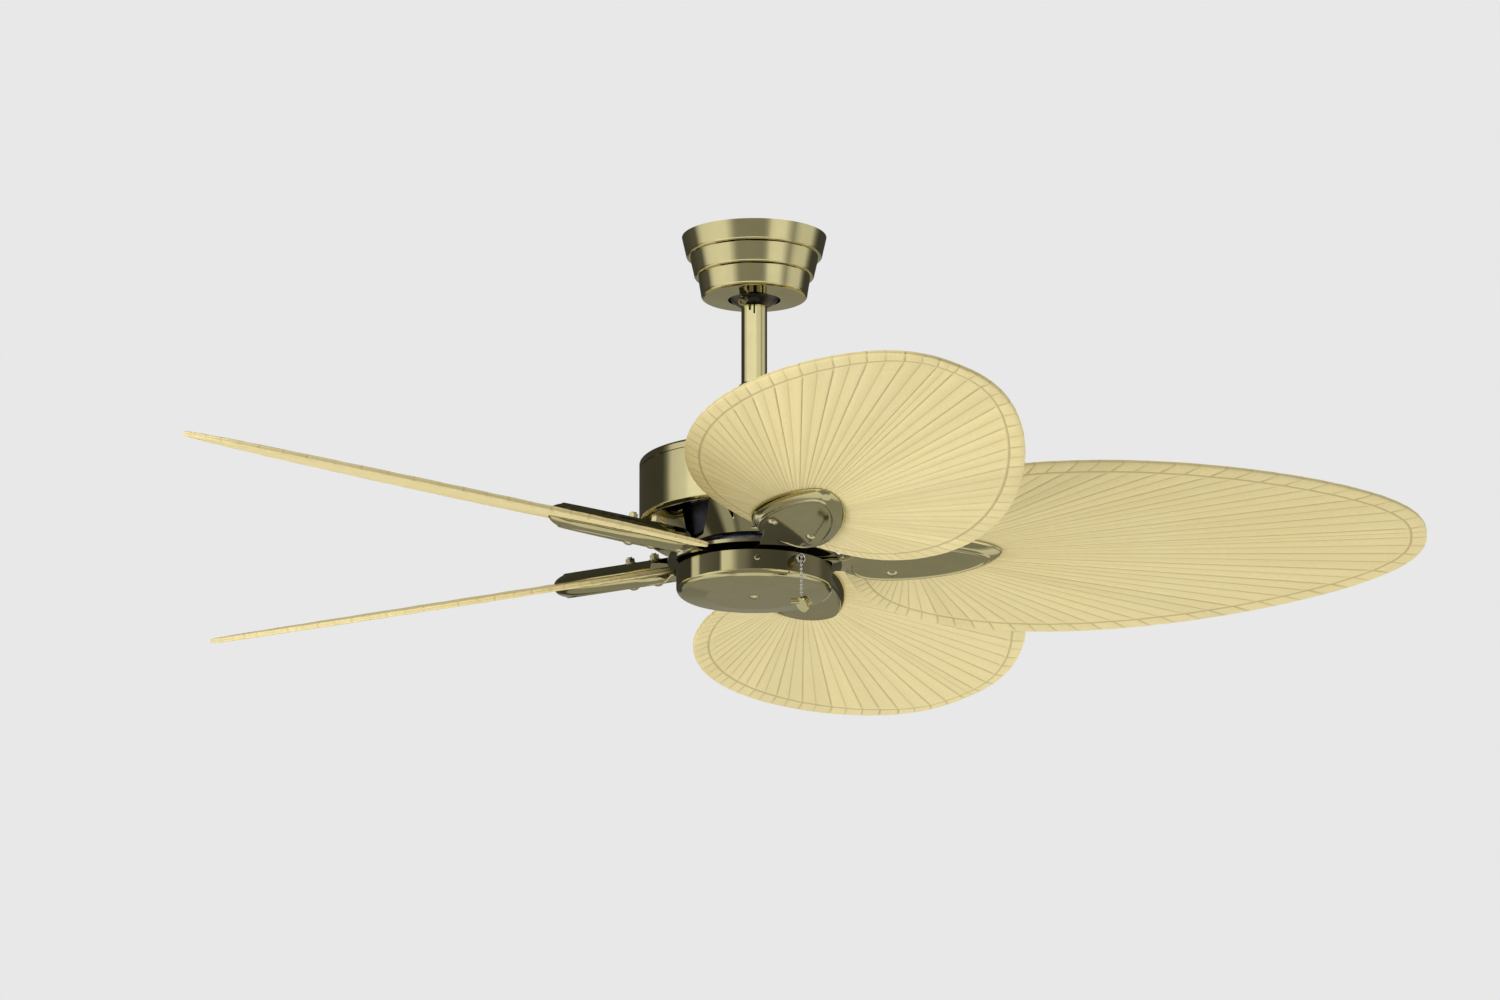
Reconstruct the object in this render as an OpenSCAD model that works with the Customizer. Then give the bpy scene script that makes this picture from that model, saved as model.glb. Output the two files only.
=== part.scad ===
// Ceiling fan with five palm leaf blades and brass metalwork.
// Millimetres, +Z up. The origin is on the ceiling, midway between the two ceiling screws.
// Heights marked "above the blade plane" are measured from the hub point of the blades.

/* [Ceiling bracket] */
// Distance between the two ceiling screw holes
bolt_gap = 88.9; // [80:0.1:100]
// Diameter of the ceiling screw holes
bolt_hole_d = 5.2; // [4.6:0.1:6]
// Length of the ceiling plate
plate_l = 112; // [108:1:120]
// Width of the ceiling plate
plate_w = 38; // [30:1:44]
// Thickness of the bracket steel
strap_t = 2.5; // [2:0.1:3]
// Diameter of the hanger ball
ball_d = 63; // [60:0.5:65]
// Depth of the ball centre below the ceiling
ball_depth = 43; // [41:0.5:45]
// Gap between the ball and its seat
ball_gap = 0.3; // [0.2:0.05:0.5]

/* [Canopy] */
// Diameter of the canopy at the ceiling
canopy_d = 142.4; // [138:0.2:150]
// Height of the canopy
canopy_h = 64; // [62:0.5:66]
// Width of each of the two steps in the canopy's side
canopy_step = 4; // [3:0.5:5]
// How far each tier of the canopy tapers inwards
canopy_taper = 4; // [3:0.5:5]
// Diameter of the hole in the canopy's base
canopy_hole_d = 51.8; // [50:0.2:53]
// Thickness of the sheet metal covers
sheet_t = 1.2; // [0.8:0.1:1.5]

/* [Downrod] */
// Outer diameter of the downrod
rod_d = 25.4; // [22:0.1:27]
// Wall of the downrod
rod_wall = 2; // [1.5:0.1:3]
// Length of the downrod
rod_l = 180; // [150:1:300]
// Diameter of the cross pins through the downrod
pin_d = 6; // [5:0.1:7]
// Outer diameter of the coupling's socket
coupling_d = 37; // [34:0.5:40]
// Depth of the downrod in the coupling
socket_depth = 32; // [26:1:36]

/* [Motor] */
// Outer diameter of the motor housing
motor_d = 225.6; // [220:0.2:240]
// Height of the motor's top above the blade plane
motor_up = 95.7; // [94:0.1:105]
// Height of the cap above the seam round the housing
cap_h = 8.7; // [6:0.1:12]
// Height of the housing's lower lip above the blade plane
lip_up = 33; // [32:0.1:34]
// Diameter of the opening in the vented cover
vent_hole_d = 124; // [120:1:128]
// Height of the vented cover's lower edge above the blade plane
vent_up = 10; // [9:0.1:11]
// Number of vent windows
vent_count = 5; // [4:1:6]
// Outer diameter of the motor shaft
shaft_d = 17; // [15:0.1:18]
// Bore of the motor shaft
shaft_bore = 10; // [9:0.1:11]
// Running clearance of the bearings on the shaft
run_gap = 0.05; // [0.02:0.01:0.1]
// Diameter of the stator core
stator_d = 140; // [130:1:145]
// Height of the stator core
stator_h = 24; // [18:1:26]
// Number of stator slots
slot_count = 16; // [12:1:20]
// Air gap between the stator and the rotor ring
air_gap = 0.6; // [0.4:0.1:1]
// Width of the rotor ring round the stator
rotor_ring_w = 13.4; // [12:0.1:15]
// Outer diameter of the ball bearings
bearing_d = 35; // [33:0.5:36]
// Height of the ball bearings
bearing_h = 10; // [8:0.5:11]

/* [Blades] */
// Number of blades
blade_count = 5; // [3:1:5]
// Angle of the first blade
blade_turn = -72.8; // [-90:0.1:90]
// Diameter swept by the blade tips
sweep_d = 1320; // [1200:1:1500]
// Greatest width of a blade
blade_w = 307; // [240:1:320]
// Thickness of a blade
blade_t = 6; // [5:0.1:7]
// Distance from the fan's axis to a blade's root
blade_root = 88; // [87.5:0.1:90]
// Pitch of the blades
blade_pitch = 17.6; // [12:0.1:18]
// Upward slope of the blades
blade_rise = 1.8; // [1.5:0.1:3]

/* [Blade irons] */
// Distance from the fan's axis to the tip of the iron
iron_tip = 243.5; // [225:0.5:260]
// Distance from the fan's axis to the root of the iron's pan
iron_root = 90; // [89:0.5:92]
// Greatest width of the iron's pan
iron_w = 83; // [76:0.5:90]
// Depth of the pan from the blade to its flat face
iron_depth = 8.8; // [8:0.1:10]
// Width of the bevel round the pan
iron_bevel = 12; // [9:0.5:13]
// Thickness of the irons
iron_t = 2.2; // [1.8:0.1:3]
// Width of the iron's arm
arm_w = 40; // [34:0.5:44]
// Thickness of the iron's arm
arm_t = 3.2; // [3:0.1:4]
// Distance from the fan's axis to the blade bolts
bolt_r = 134.7; // [130:0.1:140]
// Spacing of the two blade bolts
bolt_pair = 40.8; // [36:0.1:44]
// Diameter of the blade bolts
bolt_d = 5; // [4:0.1:5.5]
// Distance from the fan's axis to the iron screws
screw_r = 61; // [59:0.5:64]
// Spacing of the two screws in each arm
screw_pair = 22; // [18:0.5:24]
// Diameter of the flywheel
flywheel_d = 170; // [166:1:172]
// Thickness of the flywheel
flywheel_t = 3.5; // [3:0.1:4]

/* [Switch housing] */
// Diameter of the switch housing
switch_d = 153; // [150:0.5:160]
// Depth of the switch housing
switch_h = 28.3; // [27:0.1:32]
// Gap between the arms and the switch housing
switch_gap = 2.5; // [2:0.1:3.5]
// Direction of the pull chain
chain_turn = -59.4; // [-75:0.1:-45]
// Distance from the fan's axis to the pull chain
chain_r = 90; // [89.5:0.1:91]
// Diameter of the beads on the pull chain
bead_d = 3.15; // [2.6:0.05:3.3]
// Spacing of the beads
bead_pitch = 4; // [3.7:0.05:4.5]
// Number of beads
bead_count = 10; // [8:1:20]
// Diameter of the pull chain's knob
fob_d = 17; // [14:0.2:20]
// Diameter of the barrel on the knob
fob_barrel_d = 5.8; // [4:0.1:6.4]
// Travel of the pull chain
pull_travel = 6.5; // [5:0.5:7]
// Travel of the reversing slider
slider_travel = 5; // [3:0.5:6]

/* [Hidden] */

// Colours
brass = [0.47, 0.45, 0.33];
bright_brass = [0.78, 0.72, 0.50];
leaf_cream = [0.90, 0.83, 0.63];
steel = [0.62, 0.62, 0.64];
dark_steel = [0.28, 0.28, 0.31];
black_plastic = [0.12, 0.12, 0.13];
copper = [0.72, 0.42, 0.24];

fine = 96;      // facets of large round shapes
small = 32;     // facets of small round shapes
cut = 1;        // overrun of every cut past the faces it opens
skin = 0.02;    // thickness of the slabs that a blended solid is spanned between

// Heights, from the ceiling down
ball_z = -ball_depth;
ball_r = ball_d / 2;
ball_flat = 10;                         // from the ball's centre up to its flat top
ball_top = ball_z + ball_flat;
ball_pin_rise = 5;
ball_pin_z = ball_z + ball_pin_rise;
rod_rise = 15;                          // from the ball's centre up to the rod's end
rod_top = ball_z + rod_rise;
rod_bottom = rod_top - rod_l;
socket_top = rod_bottom + socket_depth;
coupling_pin_rise = 18;
coupling_pin_z = rod_bottom + coupling_pin_rise;
shaft_grip = 18;                        // length of the shaft inside the coupling
flange_t = 4;
motor_top = rod_bottom - shaft_grip - flange_t;
hub_z = motor_top - motor_up;           // the blade plane at the hub
flywheel_drop = 3;
flywheel_top = hub_z - flywheel_drop;
flywheel_bottom = flywheel_top - flywheel_t;
arm_bottom = flywheel_bottom - arm_t;
switch_top = arm_bottom - switch_gap;
switch_bottom = switch_top - switch_h;

// Canopy
canopy_gap = 0.4;                       // between the canopy and the ceiling
canopy_rim = -canopy_gap;
canopy_r = canopy_d / 2;
canopy_lip = 2.4;                       // radius of the rolled lip under each tier
canopy_corner = 3.2;                    // radius of the lower corner
canopy_base = canopy_rim - canopy_h;
canopy_dish = 2.2;                      // how far the base hangs below the third tier
canopy_fold = 1.6;                      // the same, at the lower corner
tier_h = (canopy_h - canopy_dish) / 3;
tier_2 = canopy_rim - tier_h;
tier_3 = tier_2 - tier_h;
tier_r2 = canopy_r - canopy_taper - canopy_step;
tier_r3 = tier_r2 - canopy_taper - canopy_step;
base_taper = 2.8;                       // how far the third tier tapers to the corner
base_r = tier_r3 - base_taper;
ear_turns = [60, 120];                  // the canopy screws, at the back
ear_drop = 9;
ear_z = canopy_rim - ear_drop;
ear_gap = 5.4;                          // from the ears to the canopy's rim
ear_inner = canopy_r - ear_gap - strap_t;
ear_w = 12;
ear_screw_d = 3.3;
ear_screw_head = 7;
ear_screw_dome = 2;

// Ball seat
seat_r = ball_r + ball_gap;
cup_wall = 4.2;
cup_r = seat_r + cup_wall;
cup_from = 8;                           // the cup's top and bottom, below the ball's centre
cup_to = 18;
cup_top = ball_z - cup_from;
cup_bottom = ball_z - cup_to;
slot_gap = 3;
cup_slot = rod_d + slot_gap;            // opening that the rod passes when the fan is hooked in
leg_x = cup_r - strap_t;
leg_w = 24;
wire_hole_d = 22;
ball_pin_l = 48;
key_w = 5;
key_in = 4;                             // how far the key reaches into the ball
key_gap = 1.6;                          // between the key's sides and its slot
key_up = 6;                             // from the cup's bottom to the key
key_clear = 1.2;                        // between the key's inner edge and its slot
lock_turn = -119;                       // direction of the ball's lock screw
lock_drop = 50;                         // its slope below the horizontal
lock_d = 5;
lock_nut_d = 9.2;
lock_nut_h = 3;
lock_head_d = 8;
lock_head_h = 4;
lock_key_d = 4.6;
lock_key_h = 2.2;
hole_gap = 0.1;                         // clearance of bolts and rods in their holes
lock_from = (rod_d / 2 + hole_gap + lock_d / 2 * sin(lock_drop)) / cos(lock_drop) + 2 * hole_gap;
slit_w = 1.6;                           // slit in the front of the downrod
slit_l = 18;
slit_top = ball_z - 20.2;

// Coupling cover, heights above the motor's top
cover_gap = 0.3;
cover_top = 79.9;
cover_neck = rod_d / 2 + cover_gap;
cover_shoulder = 17;                    // length of the 45 degree shoulder
cover_round = 8;                        // radius of the curve below the shoulder
cover_foot_r = 40;
cover_foot_h = 6;
cap_screw_r = 26;
cap_screw_d = 5;
cap_screw_turns = [30, 150, 270];
cap_nut_d = 9.4;
cap_nut_h = 3.6;
flange_r = 32;
coupling_bottom = rod_bottom - shaft_grip;
set_screw_turns = [-60, -120];
set_screw_d = 6;
set_screw_l = 11;
set_screw_drop = 7;
pin_end = 3;                            // how far the coupling's pin head stands off
pin_head_h = 2.6;
pin_head_d = 10;
pin_tail = 9;                           // how far the pin's other end stands out
clip_d = 2;
clip_r = 3;
clip_in = 4;                            // from the pin's end to the clip
clip_h = 16;

// Motor
motor_r = motor_d / 2;
seam_z = motor_top - cap_h;
seam_gap = 0.8;
seam_depth = 1;
cap_skirt = 5;                          // how far the cap reaches into the housing
cap_gap = 0.1;
cap_corner = 2.5;
lip_z = hub_z + lip_up;
lip_round = 3.8;
cap_t = 2;
vent_z = hub_z + vent_up;
vent_r = vent_hole_d / 2;
flange_w = 2;                           // width of the lip's flat part
flange_in = motor_r - lip_round - flange_w;
vent_t = 1.5;
cone_r = flange_in - vent_t;            // outer edge of the vented cover's cone
window_in = vent_r + 4;                 // radii of the vent windows and of the slots beside them
window_out = cone_r - 2;
slot_in = vent_r + 16;
slot_out = cone_r - 1.5;
shaft_r = shaft_d / 2;
shaft_gap = 0.3;                        // of the motor's cap round the shaft
shaft_top = rod_bottom - 0.5;
shaft_tail = 14;                        // how far the shaft reaches into the switch housing
shaft_bottom = switch_top - shaft_tail;
collar_h = 3;
stator_drop = 21.7;                     // from the motor's top to the stator core
stator_top = motor_top - stator_drop;
stator_bottom = stator_top - stator_h;
slot_w = 8;
slot_mouth = 2.4;
tooth_t = 5;                            // thickness of the tooth tips
winding_h = 8;
rotor_skin = 4;
ring_in = stator_d / 2 + air_gap;
rotor_r = ring_in + rotor_ring_w + rotor_skin;
web_drop = 10.7;                        // from the motor's top to the inside of the rotor's web
web_t = 3.5;
web_corner = 3;
rotor_web = motor_top - web_drop;
rotor_seam = (stator_top + stator_bottom) / 2;
cone_drop = 10;                         // from the stator core to the lower bell's cone
bearing_r = bearing_d / 2;
bearing_wall = 6;
bearing_land = 3.4;
shield_in = 1.2;
upper_bearing_z = rotor_web + web_t - bearing_h;
floor_rise = 12;
rotor_floor = hub_z + floor_rise;
lower_bearing_z = rotor_floor + 2;
rotor_hub_r = 54;
rotor_hub_w = 14;
hub_screw_r = 47;
hub_screw_d = 5;
hub_screw_in = 10;                      // how far the flywheel's screws go into the rotor's hub
screw_head = 9;
screw_dome = 2.4;

// Blades
tip_r = sweep_d / 2;
blade_start = 72;                       // where the leaf's outline would close at the hub
blade_pad = blade_t / 2;
iron_face = blade_pad + iron_depth;     // the flat faces of the irons, from the blade's middle
face_in = iron_bevel - 4;               // from the pan's outline to its flat face, at the root
face_out = iron_bevel + 3;              // the same, at the tip
boss_d = 14;
washer_t = 1.2;
washer_d = 11.5;
nut_h = 4.2;
nut_d = 9.8;                            // across the corners
bolt_end = 1.5;                         // how far the bolts stand out of their nuts
bolt_head = 11;
bolt_dome = 2.8;
iron_screw_d = 4;
iron_screw_head = 8;
iron_screw_dome = 2;
arm_end = 12;                           // from the iron's screws to its inner end
arm_inner = screw_r - arm_end;
arm_outer = flywheel_d / 2 + 1;
neck_in = 12;                           // from the pan's root to the neck's end
neck_r = iron_root + neck_in;
neck_w = arm_w + 4;
neck_skew = 7;                          // how far the twist draws out each side of the neck's end

// Switch housing
switch_r = switch_d / 2;
plate_drop = 3;
plate_z = switch_top - plate_drop;
plate_t = 2;
plate_gap = 0.6;
plate_r = switch_r - sheet_t - plate_gap;
tab_w = 14;                             // tabs that the housing's side screws go into
tab_t = 3.5;
tab_h = 10;
collar_r = 12;
flywheel_bore = collar_r + 9;
shaft_nut_d = 31;
shaft_nut_h = 7;
side_screw_drop = 8;
side_screw_z = switch_top - side_screw_drop;
side_screw_d = 3;
side_screw_head = 6;
side_screw_dome = 1.6;
side_turns = [-87.8, 32.2, 152.2];
switch_corner = 7;                      // radius of the switch housing's lower corner
switch_wall_end = switch_bottom + 9;
switch_flat_r = switch_r - 29.07;       // where its floor turns flat
centre_screw_d = 5;
centre_screw_head = 10.3;
centre_screw_l = 8;
centre_nut_d = 9.4;
centre_nut_h = 4;
box_h = 18;                             // height of the capacitor and the pull switch
box_w = 20;
capacitor_l = 34;
capacitor_from = [-58, 8];
ferrule_drop = 9.5;
ferrule_z = switch_top - ferrule_drop;
ferrule_d = 10.5;
ferrule_bore = 4.6;
ferrule_from = switch_r - sheet_t - 0.4;
nose_d = 7.6;
ring_d = 10.4;
ring_bore = 4.6;
ring_l = 5;
ring_round = 1.2;
ring_face = chain_r + 0.6;
channel_d = bead_d + 0.9;
channel_up = 3.4;
bead_in = 1.3;
first_bead = ferrule_z + bead_in;
last_bead = first_bead - (bead_count - 1) * bead_pitch;
wire_d = 1;
fob_gap = 2.6;                          // from the last bead to the knob
fob_top = last_bead - fob_gap;
fob_side = 2.6;                         // from the chain to the knob's middle
fob_drop = fob_d / 2 + 0.1;
barrel_l = 10;
barrel_up = 2.6;
fob_lean = 235;                         // slope and turn of the knob's face
fob_turn = 35;
fob_t = 6.6;
rib_depth = 0.7;
reverse_turn = 90;
reverse_box = [13, 18, 9];
knob_w = 3;
knob_h = 3.6;
knob_l = 8.2;
knob_gap = 0.4;                         // of the slider's knob in its slots

// Route of the supply lead: across the canopy, down the rod and shaft, to the pull switch
lead_d = 5;
lead_side = pin_d / 2 + lead_d / 2 + 0.5;   // beside the cross pins
lead_rise = 14;
lead_top = rod_top + lead_rise;
lead_low = plate_z - plate_t - 15;
pull_from = 55;                         // inner end of the pull switch
plug_size = [17, 18, 10];
plug_from = 12;
plug_pin = [8, 3.2, 6];
plug_pitch = 5;
chain_x = cos(chain_turn);
chain_y = sin(chain_turn);
lead_route = [
    [12, lead_side, lead_top], [8, lead_side, lead_top], [4, lead_side, lead_top - 2],
    [1.2, lead_side, lead_top - 6], [0, lead_side, lead_top - 11],
    [0, lead_side, rod_bottom + 13], [0, 0.8 * lead_side, rod_bottom + 8],
    [0, 0.25 * lead_side, rod_bottom + 2], [0, 0, rod_bottom - 3], [0, 0, shaft_bottom + 4],
    [0.8 * chain_x, 0.8 * chain_y, lead_low + 6], [3 * chain_x, 3 * chain_y, lead_low + 2.6],
    [6.5 * chain_x, 6.5 * chain_y, lead_low + 0.6], [11 * chain_x, 11 * chain_y, lead_low],
    [pull_from * chain_x, pull_from * chain_y, lead_low]
];

// ---------------------------------------------------------------- helpers

function reverse(list) = [for (i = [len(list) - 1:-1:0]) list[i]];

// Points of an arc in the plane of a profile
function arc(centre, r, from, to, steps = 6) =
    [for (i = [0:steps]) let (a = from + (to - from) * i / steps) centre + r * [cos(a), sin(a)]];

// A turned sheet metal shell: its outer profile, and the same profile moved inwards
module shell(outer, shift, floor_r = 0, rim = 0) {
    inner = [for (p = outer) [max(p[0] + shift[0], floor_r), min(p[1] + shift[1], rim)]];
    rotate_extrude($fn = fine) polygon(concat(outer, reverse(inner)));
}

module ring(r_out, r_in, z, h) {
    translate([0, 0, z]) rotate_extrude($fn = fine) translate([r_in, 0]) square([r_out - r_in, h]);
}

// A round rod that lies along the radius at the given angle and height
module radial(turn, z, from, to, d) {
    rotate([0, 0, turn]) translate([from, 0, z]) rotate([0, 90, 0])
        cylinder(d = d, h = to - from, $fn = small);
}

// A domed screw that points up, with its head's seat at the origin
module domed_screw(d, l, head_d, head_h) {
    dome_r = (head_d * head_d / 4 + head_h * head_h) / (2 * head_h);
    difference() {
        union() {
            cylinder(d = d, h = l, $fn = small);
            intersection() {
                translate([0, 0, dome_r - head_h]) sphere(r = dome_r, $fn = 64);
                translate([0, 0, -head_h]) cylinder(d = head_d, h = head_h, $fn = small);
            }
        }
        for (a = [0, 90])
            rotate([0, 0, a]) translate([-head_d / 4, -head_d / 18, -head_h - cut])
                cube([head_d / 2, head_d / 9, cut + head_h * 0.4]);
    }
}

// The frame of one arm: +X points out from the fan's axis
module at_arm(k) {
    rotate([0, 0, blade_turn + 360 * k / blade_count]) children();
}

// From an arm's frame to its blade's: +X along the blade, +Z square to it
module tilt() {
    translate([0, 0, hub_z]) rotate([0, -blade_rise, 0]) rotate([-blade_pitch, 0, 0]) children();
}

module at_blade(k) {
    at_arm(k) tilt() children();
}

module at_bolts() {
    for (s = [-1, 1]) translate([bolt_r, s * bolt_pair / 2, 0]) children();
}

module at_arm_screws() {
    for (s = [-1, 1]) translate([screw_r, s * screw_pair / 2, 0]) children();
}

// The flywheel's screws, midway between the arms
module at_hub_screws() {
    for (k = [0:blade_count - 1]) at_arm(k + 0.5) translate([hub_screw_r, 0, 0]) children();
}

// ---------------------------------------------------------------- ceiling bracket and canopy

module hanger_bracket() color(steel) {
    ear_from = plate_w / 2 - strap_t - 1.5;
    difference() {
        union() {
            translate([-plate_l / 2, -plate_w / 2, -strap_t]) cube([plate_l, plate_w, strap_t]);
            for (s = [-1, 1])
                translate([s > 0 ? leg_x : -cup_r, -leg_w / 2, cup_bottom])
                    cube([strap_t, leg_w, -cup_bottom]);
            translate([0, 0, cup_bottom]) cylinder(r = cup_r, h = cup_top - cup_bottom, $fn = fine);
            for (a = ear_turns) rotate([0, 0, a]) {
                translate([ear_from, -ear_w / 2, -strap_t])
                    cube([ear_inner - ear_from + strap_t, ear_w, strap_t]);
                translate([ear_inner, -ear_w / 2, ear_z - ear_w / 2])
                    cube([strap_t, ear_w, ear_w / 2 - ear_z]);
            }
        }
        translate([0, 0, ball_z]) sphere(r = seat_r, $fn = fine);
        translate([-cup_slot / 2, -cup_r - cut, cup_bottom - cut])
            cube([cup_slot, cup_r, cup_top - cup_bottom + 2 * cut]);
        for (s = [-1, 1])
            translate([s * bolt_gap / 2, 0, -strap_t - cut])
                cylinder(d = bolt_hole_d, h = strap_t + 2 * cut, $fn = small);
        translate([0, 0, -strap_t - cut]) cylinder(d = wire_hole_d, h = strap_t + 2 * cut, $fn = small);
        for (a = ear_turns)
            radial(a, ear_z, ear_inner - cut, ear_inner + strap_t + cut, ear_screw_d + hole_gap);
    }
    // key that stops the ball from turning
    translate([-key_w / 2, ball_r - key_in, cup_bottom + key_up])
        cube([key_w, cup_r - ball_r + key_in - 1, cup_top - cup_bottom - key_up]);
}

module canopy() color(brass) {
    r_lip1 = canopy_r - canopy_taper;
    r_lip2 = tier_r2 - canopy_taper;
    profile = concat(
        [[canopy_r, canopy_rim]],
        arc([r_lip1 - canopy_lip, tier_2 + canopy_lip], canopy_lip, 10, -90),
        [[tier_r2, tier_2]],
        arc([r_lip2 - canopy_lip, tier_3 + canopy_lip], canopy_lip, 10, -90),
        [[tier_r3, tier_3]],
        arc([base_r - canopy_corner, canopy_base + canopy_fold + canopy_corner], canopy_corner, 8, -86),
        [[canopy_hole_d / 2, canopy_base]]);
    difference() {
        shell(profile, [-sheet_t, sheet_t], canopy_hole_d / 2, canopy_rim);
        for (a = ear_turns) radial(a, ear_z, ear_inner + strap_t, canopy_r + cut, ear_screw_d + 0.9);
    }
}

module canopy_screws() color(bright_brass) {
    seat = canopy_r - canopy_taper * (ear_drop - ear_screw_head / 2) / tier_h + hole_gap;
    for (a = ear_turns) rotate([0, 0, a]) translate([seat, 0, ear_z]) rotate([0, -90, 0])
        domed_screw(ear_screw_d, seat - ear_inner + 4, ear_screw_head, ear_screw_dome);
}

// ---------------------------------------------------------------- hanger ball and downrod

module hanger_ball() color(dark_steel) {
    difference() {
        translate([0, 0, ball_z]) sphere(r = ball_r, $fn = fine);
        translate([-ball_r - cut, -ball_r - cut, ball_top])
            cube([ball_d + 2 * cut, ball_d + 2 * cut, ball_r]);
        translate([0, 0, ball_z - ball_r - cut]) cylinder(d = rod_d + 2 * hole_gap, h = ball_d, $fn = fine);
        // groove for the cross pin
        translate([-ball_r, 0, ball_pin_z]) rotate([0, 90, 0])
            cylinder(d = pin_d + 2 * hole_gap, h = ball_d, $fn = small);
        translate([-ball_r, -pin_d / 2 - hole_gap, ball_pin_z])
            cube([ball_d, pin_d + 2 * hole_gap, ball_top - ball_pin_z + cut]);
        // slot for the bracket's key
        translate([-key_w / 2 - key_gap, ball_r - key_in - key_clear, ball_z - ball_r])
            cube([key_w + 2 * key_gap, 2 * key_in, ball_r + 2]);
        lock_place() cylinder(d = lock_d + hole_gap, h = ball_r, $fn = small);
    }
}

module ball_pin() color(steel)
    translate([-ball_pin_l / 2, 0, ball_pin_z]) rotate([0, 90, 0])
        cylinder(d = pin_d, h = ball_pin_l, $fn = small);

// The lock screw's frame: +Z points from the ball's centre out along the screw
module lock_place() {
    translate([0, 0, ball_z]) rotate([0, 0, lock_turn]) rotate([0, 90 + lock_drop, 0])
        translate([0, 0, lock_from]) children();
}

module ball_lock_screw() color(bright_brass) {
    head_from = ball_r - lock_from + hole_gap + lock_nut_h;
    lock_place() difference() {
        union() {
            cylinder(d = lock_d, h = head_from, $fn = small);
            translate([0, 0, head_from]) cylinder(d = lock_head_d, h = lock_head_h, $fn = small);
        }
        translate([0, 0, head_from + lock_head_h - lock_key_h])
            cylinder(d = lock_key_d, h = lock_key_h + cut, $fn = 6);
    }
}

module ball_lock_nut() color(bright_brass)
    lock_place() translate([0, 0, ball_r - lock_from + hole_gap]) difference() {
        cylinder(d = lock_nut_d, h = lock_nut_h, $fn = 6);
        translate([0, 0, -cut]) cylinder(d = lock_d, h = lock_nut_h + 2 * cut, $fn = small);
    }

module downrod() color(brass)
    difference() {
        translate([0, 0, rod_bottom]) cylinder(d = rod_d, h = rod_l, $fn = fine);
        translate([0, 0, rod_bottom - cut])
            cylinder(d = rod_d - 2 * rod_wall, h = rod_l + 2 * cut, $fn = fine);
        for (z = [ball_pin_z, coupling_pin_z])
            translate([-rod_d, 0, z]) rotate([0, 90, 0])
                cylinder(d = pin_d + hole_gap, h = 2 * rod_d, $fn = small);
        translate([-slit_w / 2, -rod_d, slit_top - slit_l]) cube([slit_w, rod_d, slit_l]);
    }

// ---------------------------------------------------------------- supply lead

// A tube swept along a route of points
module swept_tube(route, d, sides = 8) {
    n = len(route);
    function unit(v) = v / norm(v);
    function along(i) = unit(route[min(i + 1, n - 1)] - route[max(i - 1, 0)]);
    function side(i) = unit(cross(along(i), [chain_y, -chain_x, 0.001]));
    points = [for (i = [0:n - 1], s = [0:sides - 1])
        let (u = side(i), v = cross(along(i), u), a = 360 * s / sides)
            route[i] + d / 2 * (cos(a) * u + sin(a) * v)];
    walls = [for (i = [0:n - 2], s = [0:sides - 1])
        let (a = i * sides + s, b = i * sides + (s + 1) % sides)
            each [[a, b, b + sides], [a, b + sides, a + sides]]];
    start = [for (s = [0:sides - 1]) sides - 1 - s];
    end = [for (s = [0:sides - 1]) (n - 1) * sides + s];
    polyhedron(points = points, faces = concat([start], walls, [end]));
}

module lead() color(black_plastic) swept_tube(lead_route, lead_d);

module lead_plug() color([0.85, 0.85, 0.82])
    difference() {
        translate([plug_from, lead_side - plug_size[1] / 2, lead_top - plug_size[2] / 2]) cube(plug_size);
        for (y = [-plug_pitch, 0, plug_pitch])
            translate([plug_from + 10, lead_side + y - plug_pin[1] / 2, lead_top - plug_pin[2] / 2])
                cube(plug_pin);
    }

// ---------------------------------------------------------------- coupling

module coupling() color(dark_steel) {
    difference() {
        union() {
            translate([0, 0, coupling_bottom])
                cylinder(d = coupling_d, h = socket_top - coupling_bottom, $fn = fine);
            translate([0, 0, motor_top]) cylinder(r = flange_r, h = flange_t, $fn = fine);
        }
        translate([0, 0, rod_bottom]) cylinder(d = rod_d + 2 * hole_gap, h = socket_depth + cut, $fn = fine);
        translate([0, 0, motor_top - cut])
            cylinder(d = shaft_d + 2 * run_gap, h = rod_bottom - motor_top + 2 * cut, $fn = fine);
        translate([-coupling_d, 0, coupling_pin_z]) rotate([0, 90, 0])
            cylinder(d = pin_d + hole_gap, h = 2 * coupling_d, $fn = small);
        for (a = set_screw_turns)
            radial(a, socket_top - set_screw_drop, rod_d / 2, coupling_d / 2 + cut, set_screw_d + hole_gap);
        at_cap_screws() translate([0, 0, motor_top - cut])
            cylinder(d = cap_screw_d + 2 * hole_gap, h = flange_t + 2 * cut, $fn = small);
    }
}

module at_cap_screws() {
    for (a = cap_screw_turns) rotate([0, 0, a]) translate([cap_screw_r, 0, 0]) children();
}

coupling_pin_l = pin_end + coupling_d + pin_tail;
module coupling_pin() color(steel)
    translate([-coupling_d / 2 - pin_end, 0, coupling_pin_z]) rotate([0, 90, 0]) difference() {
        union() {
            cylinder(d = pin_d, h = coupling_pin_l, $fn = small);
            cylinder(d = pin_head_d, h = pin_head_h, $fn = small);
        }
        translate([-pin_d, 0, coupling_pin_l - clip_in]) rotate([0, 90, 0])
            cylinder(d = clip_d + 2 * hole_gap, h = 2 * pin_d, $fn = small);
    }

module coupling_clip() color(steel)
    translate([coupling_d / 2 + pin_tail - clip_in, 0, coupling_pin_z]) {
        translate([0, 0, -clip_h / 2]) cylinder(d = clip_d, h = clip_h, $fn = small);
        translate([0, 0, clip_h / 2 + clip_r]) rotate([90, 0, 0])
            rotate_extrude($fn = small) translate([clip_r, 0]) circle(d = clip_d, $fn = 24);
    }

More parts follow.
